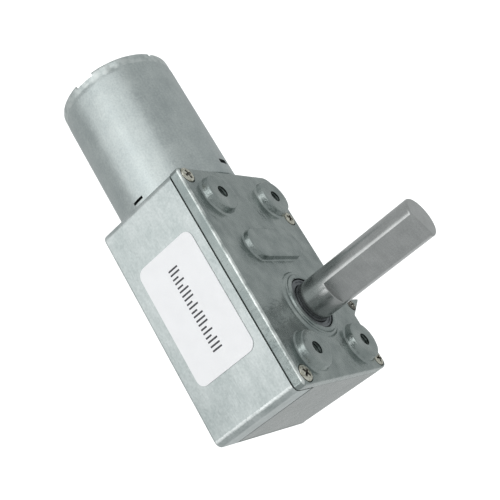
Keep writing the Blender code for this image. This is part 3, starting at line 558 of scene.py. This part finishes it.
def brass():
    """Rolled brass with a little tarnish."""
    f = Finish("brass", 0.97)
    tarnish = f.noise(0.9, 4.0, roughness=0.6)
    marks = f.noise(0.14, 2.0, (6.0, 6.0, 1.0))
    f.colour(f.blend(tarnish, marks, 0.35), (0.50, 0.36, 0.15), (0.80, 0.62, 0.30))
    f.roughness(tarnish, 0.24, 0.42)
    f.bump((marks, 0.003))
    return f.mat


def label_paper():
    """Satin white film with a faint unevenness from its adhesive."""
    f = Finish("label_paper", 0.0, 0.4)
    fibres = f.noise(0.2, 4.0)
    sag = f.noise(3.5, 3.0)
    f.colour(f.blend(fibres, sag, 0.6), (0.90, 0.90, 0.915), (0.95, 0.95, 0.965))
    f.roughness(fibres, 0.42, 0.55)
    f.bump((sag, 0.012), (fibres, 0.002))
    return f.mat


def printed_ink():
    """Dark grey ink with a little paper showing through."""
    f = Finish("printed_ink", 0.0, 0.3)
    dots = f.noise(0.12, 3.0)
    f.colour(dots, (0.03, 0.03, 0.035), (0.11, 0.11, 0.12))
    f.roughness(dots, 0.45, 0.6)
    f.bump((dots, 0.002))
    return f.mat


def moulded(name, dark, light):
    """Moulded plastic with a spark-eroded texture."""
    f = Finish(name, 0.0)
    spark = f.noise(0.16, 3.0)
    f.colour(f.blend(spark, f.noise(2.5, 2.0), 0.5), dark, light)
    f.roughness(spark, 0.38, 0.58)
    f.bump((spark, 0.008))
    return f.mat


def enamelled_copper():
    """Lacquered wire: fine turns side by side along the coil."""
    f = Finish("enamelled_copper", 0.9)
    turns = f.noise(0.22, 1.0, (1.0, 12.0, 12.0))
    f.colour(f.blend(turns, f.noise(1.2, 3.0), 0.4), (0.34, 0.11, 0.04), (0.72, 0.30, 0.12))
    f.roughness(turns, 0.24, 0.38)
    f.bump((turns, 0.05))
    return f.mat


def ferrite():
    """Dark gritty magnet and carbon."""
    f = Finish("ferrite", 0.15)
    grit = f.noise(0.2, 5.0, roughness=0.7)
    f.colour(f.blend(grit, f.noise(2.0, 3.0), 0.5), (0.05, 0.05, 0.055), (0.14, 0.14, 0.15))
    f.roughness(grit, 0.5, 0.75)
    f.bump((grit, 0.012))
    return f.mat


# ---- gearbox pieces --------------------------------------
def cover_corners():
    """The cover's outline, anticlockwise from the motor end's labelled corner."""
    return [(BOX_X1, BOX_Y1, LABEL_CORNER_R), (BOX_X0, BOX_Y1, LABEL_CORNER_R), (BOX_X0, BOX_Y0, CORNER_R),
            (EAR_X0, BOX_Y0, EAR_ROOT_R), EAR_TIP, (EAR_X1, BOX_Y0, EAR_ROOT_R),
            (BOX_X1, BOX_Y0, MOTOR_CORNER_R)]


def raised(wall, top_z, fillet, edge, taper):
    """Profile from the cover's face up a fillet and a wall to a flat top."""
    top = wall - taper - edge
    return ([(wall + fillet + SUPPORT, FACE_Z)]
            + arc(wall + fillet, FACE_Z + fillet, fillet, 270.0, 180.0)[:-1]
            + [(wall, FACE_Z + fillet)]
            + arc(top, top_z - edge, edge, 0.0, 90.0, 5)
            + [(top - SUPPORT, top_z)])


def tapped_hole(top_z):
    """Profile of a tapped hole, from its countersink down over its threads to its floor."""
    profile = [(TAP_R + TAP_BEVEL + SUPPORT, top_z), (TAP_R + TAP_BEVEL, top_z - 0.02), (TAP_R, top_z - 0.1)]
    z = top_z - 0.45
    while z > TAP_FLOOR_Z + 1.0:
        profile += [(TAP_R + THREAD_DEPTH, z), (TAP_R, z - THREAD_PITCH / 2)]
        z -= THREAD_PITCH
    return profile + [(TAP_R, TAP_FLOOR_Z + 0.5), (0.1, TAP_FLOOR_Z)]


def cover_body():
    """The casting before its screw seats are cut: every flat is filled between its sweeps."""
    bm = bmesh.new()
    edge = sweep(bm, lambda inset: rounded_outline(cover_corners(), inset),
                 [(0.03 + SUPPORT, COVER_Z), (0.03, COVER_Z), (0.0, COVER_Z + 0.03)]
                 + [(EDGE_R - r, z) for r, z in arc(0.0, FACE_Z - EDGE_R, EDGE_R, 0.0, 90.0)]
                 + [(EDGE_R + SUPPORT, FACE_Z)])
    front, back = [edge[-1]], [edge[0]]
    for site in BOSS_SITES:
        boss = sweep(bm, lambda r: ring_points(r, ROUND, site),
                     raised(BOSS_R, BOSS_TOP_Z, BOSS_FILLET, BOSS_EDGE, BOSS_TAPER)
                     + tapped_hole(BOSS_TOP_Z))
        sump = sweep(bm, lambda r: ring_points(r, SMALL_ROUND, site),
                     [(SUMP_R, COVER_Z), (SUMP_R, SUMP_Z)])
        bm.faces.new(boss[-1])
        bm.faces.new(sump[-1])
        front.append(boss[0])
        back.append(sump[0])
    collar = sweep(bm, lambda r: ring_points(r, FINE_ROUND),
                   [(COLLAR_R + COLLAR_FILLET + SUPPORT, FACE_Z)]
                   + arc(COLLAR_R + COLLAR_FILLET, FACE_Z + COLLAR_FILLET, COLLAR_FILLET, 270.0, 205.0, 5)
                   + arc(COLLAR_R - COLLAR_ROUND, FACE_Z + 0.1, COLLAR_ROUND, 40.0, 90.0, 4)
                   + arc(COLLAR_TOP_R + COLLAR_STEP, FACE_Z + 0.65, COLLAR_STEP, 270.0, 190.0, 5)
                   + arc(COLLAR_TOP_R - COLLAR_STEP, COLLAR_TOP_Z - COLLAR_STEP, COLLAR_STEP, 10.0, 90.0, 5)
                   + [(COLLAR_BORE_R + 0.2, COLLAR_TOP_Z), (COLLAR_BORE_R, COLLAR_TOP_Z - 0.2),
                      (COLLAR_BORE_R, COLLAR_UNDER_Z), (COLLAR_HUB_R, COLLAR_UNDER_Z),
                      (COLLAR_HUB_R, COVER_Z)])
    pad = sweep(bm, pad_points, raised(PAD_R + PAD_BASE, PAD_TOP_Z, PAD_FILLET, PAD_EDGE, PAD_TAPER))
    bm.faces.new(pad[-1])
    fill_between(bm, front + [collar[0], pad[0]])
    fill_between(bm, back + [collar[-1]])
    return bm


def in_tapped_hole(place, normal):
    """Whether a face belongs to a tapped hole's wall or floor."""
    return place.z < BOSS_TOP_Z - 0.1 and any(math.hypot(place.x - x, place.y - y) < TAP_R + 0.3
                                              for x, y in BOSS_SITES)


def build_cover(mat, dark):
    """The cover, cut for its screw heads and for the gear pins' ends."""
    seats = []
    for index, site in enumerate(SCREW_SITES):
        seat_r = SCREW_HEAD_R[index] + SCREW_GAP
        seats.append(turned([(SCREW_SHANK_R + FIT, COVER_Z - 1.0), (SCREW_SHANK_R + FIT, SCREW_SEAT_Z),
                             (seat_r, SCREW_SEAT_Z), (seat_r, FACE_Z - 0.02), (seat_r + 0.12, FACE_Z + 0.1),
                             (seat_r + 0.12, FACE_Z + 2.0)], SMALL_ROUND, site))
    for site in PIN_SITES:
        seats.append(cylinder(PIN_BORE_R, COVER_Z - 1.0, FACE_Z - 0.2, centre=site))
    cover = piece("cover_casting", carve(cover_body(), merge(seats)), mat, "gearbox", "front_cover")
    # Painted shade: the tapped holes' walls and floors take the dark material.
    darken(cover, dark, in_tapped_hole)


def case_outline(lean, inset=0.0):
    """The case's outline: it steps inwards where the shell's sheet covers it."""
    skin_gap = SHEET + FIT
    end = BOX_X0 + lean * 0.05
    return rounded_outline([
        (BOX_X1 - skin_gap, BOX_Y1 - skin_gap, 1.1), (BOX_X0 + skin_gap, BOX_Y1 - skin_gap, 1.1),
        (BOX_X0 + skin_gap, CASE_STEP_Y, 0.0), (end, CASE_STEP_Y, 0.06),
        (end, BOX_Y0 + lean, CORNER_R + lean), (BOX_X1, BOX_Y0 + lean, MOTOR_CORNER_R),
        (BOX_X1, CASE_STEP_Y, 0.06), (BOX_X1 - skin_gap, CASE_STEP_Y, 0.0)], inset)


def case_walls():
    """The case as a solid block, with the ear's column on its far side."""
    low, high = SHEET + 0.04, COVER_Z - 0.02
    walls = bmesh.new()
    layers = [(DRAFT, 0.08, low), (DRAFT, 0.0, low + 0.08), (0.0, 0.0, high - 0.03), (0.0, 0.03, high)]
    loops = [add_loop(walls, case_outline(lean, inset), z) for lean, inset, z in layers]
    skin(walls, loops)
    walls.faces.new(loops[0])
    walls.faces.new(loops[-1])
    root = BOX_Y0 + 0.7
    ear = [(EAR_X0, root, 0.0), (EAR_X0, BOX_Y0, 0.3), EAR_TIP, (EAR_X1, BOX_Y0, 0.3), (EAR_X1, root, 0.0)]
    column = solid(lambda inset: rounded_outline(ear, inset),
                   [(0.35, EAR_FLOOR_Z), (0.0, EAR_FLOOR_Z + 0.35), (0.0, high)])
    return carve(walls, column, "UNION")


def case_cavity():
    """The space inside the case, round its four screw columns."""
    x0, x1 = BOX_X0 + WALL, BOX_X1 - WALL
    y1 = BOX_Y1 - SHEET - FIT - 1.2
    inner = [(x1, y1, 1.0), (x0, y1, 1.0), (x0, BOX_Y0 + WALL, 1.5), (x1, BOX_Y0 + WALL, 2.0)]
    cavity = prism(rounded_outline(inner), CASE_FLOOR_Z, FACE_Z)
    columns = [cylinder(COLUMN_R, 1.0, FACE_Z + 1.0, centre=site)
               for index, site in enumerate(SCREW_SITES) if index != EAR_SCREW]
    return carve(cavity, merge(columns))


def build_case(mat, dark):
    """The case, with the seam beside the shell's strips coloured dark as painted shadow."""
    case = carve(case_walls(), case_cavity())
    holes = [cylinder(SCREW_SHANK_R + FIT, SCREW_TIP_Z - 0.8, FACE_Z, 24, site) for site in SCREW_SITES]
    holes += [cylinder(PIN_BORE_R, 1.0, 3.0, 24, site) for site in PIN_SITES]
    holes.append(cylinder(REAR_BUSH_BORE_R, -1.0, 3.0, ROUND))
    motor_holes = [cylinder(radius, BOX_X1 - 3.0, BOX_X1 + 3.0, centre=(side * MOTOR_SCREW_OFFSET, 0.0))
                   for radius, side in ((MOTOR_SCREW_BORE_R, -1.0), (MOTOR_NOSE_BORE_R, 0.0),
                                        (MOTOR_SCREW_BORE_R, 1.0))]
    case = carve(carve(case, merge(holes)), along_x(merge(motor_holes)))
    made = piece("case_casting", case, mat, "gearbox", "gearbox_case")
    # Painted shadow: the case's wall in the seam takes the dark material.
    darken(made, dark, lambda place, normal: abs(place.y - CASE_STEP_Y) < 0.03 and normal.y > 0.9)


def folded_box(low, high, bend, far_bend, back_bend, segments):
    """A block with the shell's bends on its upright corners and round its back."""
    bm = box(low, high)
    middle_y, long_enough = (low[1] + high[1]) / 2, (high[2] - low[2]) / 2
    for side, radius in ((1.0, bend), (-1.0, far_bend)):
        uprights = [e for e in bm.edges if all((v.co.y - middle_y) * side > 0.0 for v in e.verts)
                    and abs(e.verts[0].co.z - e.verts[1].co.z) > long_enough]
        if radius:
            bmesh.ops.bevel(bm, geom=uprights, offset=radius, segments=segments, profile=0.5, affect="EDGES")
    back = [e for e in bm.edges if max(v.co.z for v in e.verts) < low[2] + 0.1]
    if back_bend:
        bmesh.ops.bevel(bm, geom=back, offset=back_bend, segments=segments // 2, profile=0.5, affect="EDGES")
    return bm


def build_shell(mat):
    """One folded sheet: back panel, labelled side, and a narrow strip round each end."""
    outer = folded_box((BOX_X0, shell_low.y, 0.0), (BOX_X1, BOX_Y1, FACE_Z),
                       BEND_R, FAR_BEND_R, BACK_BEND_R, 8)
    inside = folded_box((BOX_X0 + SHEET, BOX_Y0 - 3.0, SHEET),
                        (BOX_X1 - SHEET, BOX_Y1 - SHEET, FACE_Z + 8.0), BEND_R - SHEET, 0.0, 0.0, 6)
    open_sides = box((BOX_X0 - 2.0, BOX_Y0 - 4.0, SHEET), (BOX_X1 + 2.0, STRIP_Y, FACE_Z + 9.0))
    above = box((BOX_X0 - 3.0, BOX_Y0 - 3.0, SEAM_Z), (BOX_X1 + 3.0, BOX_Y1 + 3.0, FACE_Z + 10.0))
    shell = carve(carve(carve(outer, inside), open_sides), above)
    piece("folded_shell", shell, mat, "gearbox", "rear_shell")


def label_ticks():
    """A row of plain ticks in pairs, with the second tick of most pairs short."""
    top = (TICK_HEIGHT - label_low.z - label_high.z) / 2
    first = (label_low.x + label_high.x - (TICK_GROUPS - 1) * TICK_PITCH) / 2
    ticks = []
    for group in range(TICK_GROUPS):
        for offset, share in ((-0.42, 1.0), (0.42, 0.62 if group % 3 else 1.0)):
            x = first + group * TICK_PITCH + offset
            x0, x1, low = x - TICK_STROKE / 2, x + TICK_STROKE / 2, top - TICK_HEIGHT * share
            corners = [(x0, low, 0.08), (x1, low, 0.08), (x1, top, 0.08), (x0, top, 0.08)]
            ticks.append(prism(rounded_outline(corners, 0.0, 3), 0.0, 0.02))
    return merge(ticks)


def build_label(paper, ink):
    """The label, with its ticks where its printing is."""
    x0, x1 = label_low.x - LABEL_MARGIN, label_high.x + LABEL_MARGIN
    low, high = -label_high.z, LABEL_MARGIN - label_low.z
    outline = [(x0, low, LABEL_R), (x1, low, LABEL_R), (x1, high, LABEL_R), (x0, high, LABEL_R)]
    sheet = solid(lambda inset: rounded_outline(outline, inset), [(0.0, 0.0), (0.0, 0.07), (0.05, 0.11)])
    label = piece("label_sheet", on_label_side(sheet, label_low.y), paper, "gearbox", "side_label")
    ticks = on_label_side(label_ticks(), label_low.y + 0.11)
    piece("label_marks", ticks, ink, "gearbox", None)


def cross_points(arm, half):
    """Outline of a cross recess."""
    return [(arm, -half), (arm, half), (half, half), (half, arm), (-half, arm), (-half, half),
            (-arm, half), (-arm, -half), (-half, -half), (-half, -arm), (half, -arm), (half, -half)]


def screw_points(head):
    """Profile of a cover screw from its tip to the top of its head."""
    seat = SCREW_SEAT_Z + 0.05
    return ([(0.35, SCREW_TIP_Z), (SCREW_SHANK_R, SCREW_TIP_Z + 0.5), (SCREW_SHANK_R, seat),
             (head - 0.08, seat), (head, seat + 0.08)]
            + arc(head - 0.24, FACE_Z - 0.06, 0.24, 0.0, 62.0, 4)
            + [(head * 0.55, FACE_Z + 0.24), (head * 0.2, FACE_Z + 0.28)])


def build_screws(mat, dark):
    """The cover's screws, with recesses coloured dark as painted shade. The ear's screw has a dark rim of
    painted shadow as well.
    """
    for index, site in enumerate(SCREW_SITES):
        head = SCREW_HEAD_R[index]
        screw = turned(screw_points(head), SMALL_ROUND + 8, site)
        swing = math.radians(SCREW_START + SCREW_TURN * index)
        turn = Matrix.Translation((*site, 0.0)) @ Matrix.Rotation(swing, 4, "Z")
        recess = solid(lambda size: cross_points(head * 0.62 * size, head * 0.16 * size),
                       [(0.42, FACE_Z - 0.45), (1.0, FACE_Z + 0.2), (1.1, FACE_Z + 0.5)])

        # Painted shade: the cross recess, and the ear screw's rim, take the dark material.
        def painted_shade(place, normal):
            reach = math.hypot(place.x - site[0], place.y - site[1]) / head
            in_recess = reach < 0.63 and SCREW_SEAT_Z < place.z < FACE_Z + 0.15
            return in_recess or index == EAR_SCREW and reach > 0.66

        made = piece(f"cross_screw_{index + 1}", carve(screw, moved(recess, turn)), mat,
                     "gearbox", f"cover_screw_{index + 1}")
        darken(made, dark, painted_shade)


def build_front_bush(mat):
    """Bush in the collar: a flat rim, a small step and a chamfer round the shaft."""
    rim = COLLAR_BORE_R - FIT
    hole = SHAFT_R + 0.08
    profile = [(hole, COLLAR_UNDER_Z - 1.1), (6.4, COLLAR_UNDER_Z - 1.1), (6.4, COLLAR_UNDER_Z - FIT),
               (rim, COLLAR_UNDER_Z - FIT), (rim, COLLAR_TOP_Z - 0.5),
               *arc(rim - 0.15, COLLAR_TOP_Z - 0.5, 0.15, 0.0, 90.0, 4),
               (SHAFT_R + 0.78, COLLAR_TOP_Z - 0.35), (SHAFT_R + 0.74, COLLAR_TOP_Z - 0.5),
               (SHAFT_R + 0.22, COLLAR_TOP_Z - 0.54), (hole, COLLAR_TOP_Z - 0.7)]
    bush = piece("flanged_bush", turned_ring(profile, FINE_ROUND), mat, "gearbox", "front_bush")


def d_points(inset, arc_steps=80, corner_steps=4):
    """Outline of the shaft's D section, with small rounded corners beside the flat."""
    radius, flat = SHAFT_R - inset, SHAFT_FLAT - inset
    corner = max(SHAFT_EDGE_R - inset, 0.02)
    cx = flat - corner
    cy = math.sqrt((radius - corner) ** 2 - cx ** 2)
    tangent = math.atan2(cy, cx)
    local = [(cx + corner * math.cos(tangent * k / corner_steps),
              cy + corner * math.sin(tangent * k / corner_steps)) for k in range(corner_steps)]
    for k in range(arc_steps + 1):
        a = tangent + (math.tau - 2 * tangent) * k / arc_steps
        local.append((radius * math.cos(a), radius * math.sin(a)))
    local += [(x, -y) for x, y in reversed(local[:corner_steps])]
    half = local[-1][1]
    local += [(flat, half * (1.0 - k / 12)) for k in range(1, 24)]
    c, s = math.cos(math.radians(SHAFT_FLAT_ANGLE)), math.sin(math.radians(SHAFT_FLAT_ANGLE))
    return [(x * c - y * s, x * s + y * c) for x, y in local]


def round_points(radius):
    """A circle with its points at the same angles as those of the D section."""
    angles = [math.atan2(y, x) for x, y in d_points(0.0)]
    return [(radius * math.cos(a), radius * math.sin(a)) for a in angles]


def step_points(inset):
    """The round shaft where the flat begins: its rim is rounded over the flat and untouched elsewhere."""
    points = []
    for x, y in d_points(0.0):
        reach = math.hypot(x, y)
        scale = max(SHAFT_R - inset, reach) / reach
        points.append((x * scale, y * scale))
    return points


def build_shaft(mat):
    """The output shaft, from its rear journal past the clip's groove to its D-cut end."""
    groove = SHAFT_R - CLIP_GROOVE
    bm = bmesh.new()
    lower = sweep(bm, round_points, [
        (JOURNAL_R - 0.3, JOURNAL_Z0), (JOURNAL_R, JOURNAL_Z0 + 0.3), (JOURNAL_R, JOURNAL_Z1),
        (SHAFT_R, JOURNAL_Z1), (SHAFT_R, CLIP_Z - 0.1),
        (groove, CLIP_Z - 0.1), (groove, CLIP_Z + 0.6), (SHAFT_R, CLIP_Z + 0.6),
        (SHAFT_R, SHAFT_FLAT_Z - STEP_R - SUPPORT)])
    step = sweep(bm, step_points, [(STEP_R - r, z)
                                   for r, z in arc(0.0, SHAFT_FLAT_Z - STEP_R, STEP_R, 0.0, 90.0, 4)])
    upper = sweep(bm, d_points, [(0.0, SHAFT_FLAT_Z)]
                  + [(SHAFT_TIP_R - r, z)
                     for r, z in arc(0.0, SHAFT_TIP_Z - SHAFT_TIP_R, SHAFT_TIP_R, 0.0, 90.0)]
                  + [(SHAFT_TIP_R + SUPPORT, SHAFT_TIP_Z)])
    skin(bm, [lower[-1], step[0]])
    skin(bm, [step[-1], upper[0]])
    bm.faces.new(lower[0])
    bm.faces.new(upper[-1])
    bmesh.ops.remove_doubles(bm, verts=bm.verts, dist=0.0005)
    piece("d_cut_shaft", bm, mat, "output", "output_shaft")


# ---- motor pieces ----------------------------------------
def wedge(angle, low, high):
    """A cutter box whose local X points away from the can's axis at an angle round it."""
    return moved(box(low, high), Matrix.Rotation(math.radians(angle), 4, "Z"))


def can_body():
    """The can's turned walls, with rows of points near its rear that can be pressed in."""
    front, rear = CAN_R - CAN_FRONT_ROUND, CAN_R - CAN_REAR_ROUND
    rows = [CAN_X1 - 0.8 - 0.3 * k for k in range(12, -1, -1)]
    profile = ([(MOTOR_NOSE_BORE_R, CAN_X0), (front, CAN_X0)]
               + arc(front, CAN_X0 + CAN_FRONT_ROUND, CAN_FRONT_ROUND, 270.0, 360.0)
               + [(CAN_R, x) for x in rows]
               + arc(rear, CAN_X1 - CAN_REAR_ROUND, CAN_REAR_ROUND, 0.0, 90.0, 5)
               + [(CAN_INNER_R, CAN_X1), (CAN_INNER_R, CAN_X0 + CAN_WALL),
                  (MOTOR_NOSE_BORE_R, CAN_X0 + CAN_WALL)])
    return turned_ring(profile, FINE_ROUND + 32)


def press_rear_band(bm, band=2.0, depth=0.06, dent_depth=0.24, dent_r=0.8):
    """Draw the can's rear band in a little, and press the staking dents into it."""
    for v in bm.verts:
        radius = math.hypot(v.co.x, v.co.y)
        if radius < CAN_R - 0.6 or v.co.z < CAN_X1 - 6.0:
            continue
        step = min(max((v.co.z - (CAN_X1 - band - 0.9)) / 0.9, 0.0), 1.0)
        pressed = depth * step * step * (3 - 2 * step)
        angle = math.atan2(v.co.y, v.co.x)
        for dent in DENT_ANGLES:
            apart = math.remainder(angle - math.radians(dent), math.tau) * CAN_R
            away = math.hypot(apart, v.co.z - (CAN_X1 - 1.25))
            pressed += dent_depth * math.exp(-((away / dent_r) ** 2))
        v.co.xy *= (radius - pressed) / radius


def build_can(mat):
    """The can, cut for its cooling slots, its rim notches and its two screws."""
    bm = can_body()
    press_rear_band(bm)
    cutters = [wedge(angle, (9.0, -1.3, x - half), (14.0, 1.3, x + half)) for angle, x, half in VENTS]
    cutters += [wedge(angle, (9.0, -width / 2, CAN_X1 - 0.9), (14.0, width / 2, CAN_X1 + 1.0))
                for angle, width in RIM_NOTCHES]
    cutters += [cylinder(CAN_SCREW_BORE_R, CAN_X0 - 1.0, CAN_X0 + 2.0,
                         centre=(side * MOTOR_SCREW_OFFSET, 0.0)) for side in (-1.0, 1.0)]
    can = carve(along_x(bm), along_x(merge(cutters)))
    piece("drawn_can", can, mat, "gearbox", "motor_can")


def build_end_cap(mat):
    """The end cap, with a ring groove, a hub round the shaft's end, and slots for the terminals."""
    rim = CAN_INNER_R - FIT
    x0, x1 = CAN_X1 - 2.9, CAN_X1 - 0.8
    hub = cap_high.x
    inner, outer = CAP_GROOVE_R
    profile = [(CAP_BUSH_BORE_R, cap_low.x), (CAP_SLEEVE_R, cap_low.x), (CAP_SLEEVE_R, x0), (rim, x0),
               (rim, x1 - 0.2), (rim - 0.2, x1), (outer + 0.1, x1), (outer, x1 - CAP_GROOVE_DEPTH),
               (inner, x1 - CAP_GROOVE_DEPTH), (inner - 0.1, x1)]
    profile += arc(CAP_HUB_R + 0.5, x1 + 0.5, 0.5, 270.0, 180.0, 4)
    profile += [(CAP_HUB_R - 0.2, hub - 0.25), (CAP_HUB_R - 0.45, hub), (CAP_HOLE_R + 0.2, hub),
                (CAP_HOLE_R, hub - 0.2), (CAP_HOLE_R, hub - 0.8), (CAP_BUSH_BORE_R, hub - 0.8)]
    slots = [box((side * TERMINAL_OFFSET - 0.4, -1.3, cap_low.x - 1.6),
                 (side * TERMINAL_OFFSET + 0.4, 1.3, hub + 1.5)) for side in (-1.0, 1.0)]
    slots += [wedge(angle, (6.2, -0.9, x1 - 0.5), (8.2, 0.9, x1 + 2.0)) for angle in (90.0, 270.0)]
    cap = carve(turned_ring(profile, ROUND), merge(slots))
    piece("end_cap_moulding", along_x(cap), mat, "gearbox", "motor_end_cap")


def build_terminals(mat):
    """Solder tags: a flat blade with a rounded tip and an eye."""
    for index in (1, 2):
        low, high = span(f"terminal_{index}")
        middle_z = (low.z + high.z) / 2
        half = (high.z - low.z) / 2
        corners = [(low.x, -half, 0.1), (high.x, -half, 0.8), (high.x, half, 0.8), (low.x, half, 0.1)]
        blade = solid(lambda inset: rounded_outline(corners, inset),
                      [(0.05, low.y), (0.0, low.y + 0.05), (0.0, high.y - 0.05), (0.05, high.y)])
        eye = cylinder(TERMINAL_EYE_R, low.y - 2.0, high.y + 2.0, centre=(high.x - 2 * TERMINAL_EYE_R, 0.0))
        upright = Matrix(((1, 0, 0, 0), (0, 0, 1, 0), (0, -1, 0, middle_z), (0, 0, 0, 1)))
        tag = moved(carve(blade, eye), upright)
        piece(f"solder_tag_{index}", tag, mat, "gearbox", f"terminal_{index}")


# ---- what stays as the CAD made it -----------------------
def finish_cad_nodes(finishes):
    """Give each carried-over CAD node its detailed material."""
    for mat, names in finishes:
        for name in names:
            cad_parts[name].material_slots[0].material = mat


# ---- stage -----------------------------------------------
CAMERA_TARGET = Vector((15.7, 0.4, 17.2))
CAMERA_DISTANCE = 183.5
CAMERA_AZIMUTH, CAMERA_ELEVATION, CAMERA_ROLL = 110.85, 26.11, 49.41
CAMERA_LENS = 68.9
FLOOR_Z = -150.0
# Name, azimuth, elevation, distance, size, radiance, and whether shiny pieces reflect it.
SOFTBOXES = (("side_softbox", 67.0, 20.0, 560.0, 500.0, 0.62, True),
             ("streak_softbox", 67.0, -3.0, 560.0, 190.0, 0.95, True),
             ("low_softbox", 67.0, -26.0, 420.0, 230.0, 0.85, True),
             ("bend_softbox", 103.0, -24.0, 420.0, 160.0, 1.4, True),
             ("end_softbox", 249.0, -26.0, 420.0, 300.0, 0.18, True),
             ("paper_fill", 90.0, 0.0, 600.0, 300.0, 2.0, False))


def towards(azimuth, elevation):
    """Unit vector from the part towards a viewer or a light."""
    a, e = math.radians(azimuth), math.radians(elevation)
    return Vector((math.cos(e) * math.cos(a), math.cos(e) * math.sin(a), math.sin(e)))


def facing(origin, back, roll=0.0):
    """Matrix of a camera or light at origin (mm) whose back points along the given direction."""
    right = Vector((0.0, 0.0, 1.0)).cross(back).normalized()
    up = back.cross(right)
    c, s = math.cos(math.radians(roll)), math.sin(math.radians(roll))
    matrix = Matrix((right * c + up * s, up * c - right * s, back)).transposed().to_4x4()
    matrix.translation = origin * MM
    return matrix


def add_camera():
    """The camera of the photograph."""
    camera = bpy.data.objects.new("camera", bpy.data.cameras.new("camera"))
    camera.data.sensor_width = 36.0
    camera.data.lens = CAMERA_LENS
    camera.data.clip_start = 0.002
    back = towards(CAMERA_AZIMUTH, CAMERA_ELEVATION)
    camera.matrix_world = facing(CAMERA_TARGET + back * CAMERA_DISTANCE, back, CAMERA_ROLL)
    bpy.context.scene.collection.objects.link(camera)
    bpy.context.scene.camera = camera


def add_softbox(name, azimuth, elevation, distance, size, radiance, glossy, aim=CAMERA_TARGET):
    """A square light of the given size and distance in millimetres, shining on a point."""
    lamp = bpy.data.lights.new(name, "AREA")
    lamp.size = size * MM
    lamp.energy = radiance * math.pi * (size * MM) ** 2
    light = bpy.data.objects.new(name, lamp)
    back = towards(azimuth, elevation)
    light.matrix_world = facing(aim + back * distance, back)
    light.visible_camera = False
    light.visible_glossy = glossy
    bpy.context.scene.collection.objects.link(light)


def add_floor():
    """A pale matt floor far below the part, which doesn't show in reflections."""
    floor = Finish("studio_floor", 0.0, 0.2)
    floor.colour(floor.noise(30.0, 2.0), (0.86, 0.86, 0.86), (0.88, 0.88, 0.88))
    floor.shader.inputs["Roughness"].default_value = 0.9
    bm = bmesh.new()
    bmesh.ops.create_circle(bm, cap_ends=True, segments=96, radius=4.0)
    mesh = bpy.data.meshes.new("floor")
    bm.to_mesh(mesh)
    bm.free()
    mesh.materials.append(floor.mat)
    plane = bpy.data.objects.new("floor", mesh)
    plane.location.z = FLOOR_Z * MM
    plane.visible_glossy = False
    bpy.context.scene.collection.objects.link(plane)


def add_studio():
    """An even pale sky, softboxes for the highlights, and the floor."""
    scene = bpy.context.scene
    scene.view_settings.view_transform = "Standard"
    world = bpy.data.worlds.new("studio")
    world.use_nodes = True
    sky = world.node_tree.nodes["Background"]
    sky.inputs["Color"].default_value = (0.97, 1.0, 1.0, 1.0)
    sky.inputs["Strength"].default_value = 0.53
    scene.world = world
    add_floor()
    for softbox in SOFTBOXES:
        add_softbox(*softbox)
    add_softbox("background_light", 90.0, 89.9, 120.0, 2900.0, 0.95, False,
                Vector((1200.0, -1440.0, FLOOR_Z)))
    add_camera()


def main():
    """Build every visible piece, give the CAD nodes that stay their finishes, and add the stage."""
    cover_zinc = cast_zinc("cover_zinc", (0.25, 0.29, 0.285), (0.455, 0.50, 0.485), 1.0)
    case_zinc = cast_zinc("case_zinc", (0.23, 0.25, 0.245), (0.33, 0.355, 0.345), 0.4)
    sheet, steel = galvanised_sheet(), turned_steel()
    inner_steel, bronze, nickel = motor_steel(), sintered_bronze(), plated_screw()
    yellow, copper, magnet = brass(), enamelled_copper(), ferrite()
    black = moulded("black_plastic", (0.02, 0.02, 0.021), (0.05, 0.05, 0.052))
    acetal = moulded("wheel_plastic", (0.68, 0.65, 0.55), (0.80, 0.77, 0.68))

    # Painted shade: dark materials for the tapped holes and the case's seam, and for the screws' recesses.
    dark = shade_metal("thread_shade", (0.035, 0.047, 0.045), (0.14, 0.17, 0.16))
    painted_shade = shade_metal("recess_shade", (0.10, 0.095, 0.085), (0.26, 0.25, 0.22))
    build_cover(cover_zinc, dark)
    build_case(case_zinc, dark)
    build_shell(sheet)
    build_label(label_paper(), printed_ink())
    build_screws(nickel, painted_shade)
    build_front_bush(bronze)
    build_shaft(steel)
    build_can(plated_can())
    build_end_cap(black)
    build_terminals(yellow)
    finish_cad_nodes((
        (steel, ("wheel_pin", "idler_pin", "first_pinion", "idler_pinion", "shaft_clip")),
        (inner_steel, ("motor_shaft", "rotor_core")),
        (bronze, ("rear_bush", "motor_front_bush", "motor_rear_bush")),
        (nickel, ("motor_screw_1", "motor_screw_2")),
        (yellow, ("wheel_washer", "idler_washer", "wheel_spacer_lower", "wheel_spacer_upper",
                  "idler_spacer_upper", "idler_gear", "output_gear", "worm", "brush_arm_1", "brush_arm_2")),
        (copper, ("winding_1", "winding_2", "winding_3", "commutator")),
        (magnet, ("magnet_1", "magnet_2", "brush_1", "brush_2")),
        (acetal, ("worm_wheel",)),
    ))
    add_studio()


main()
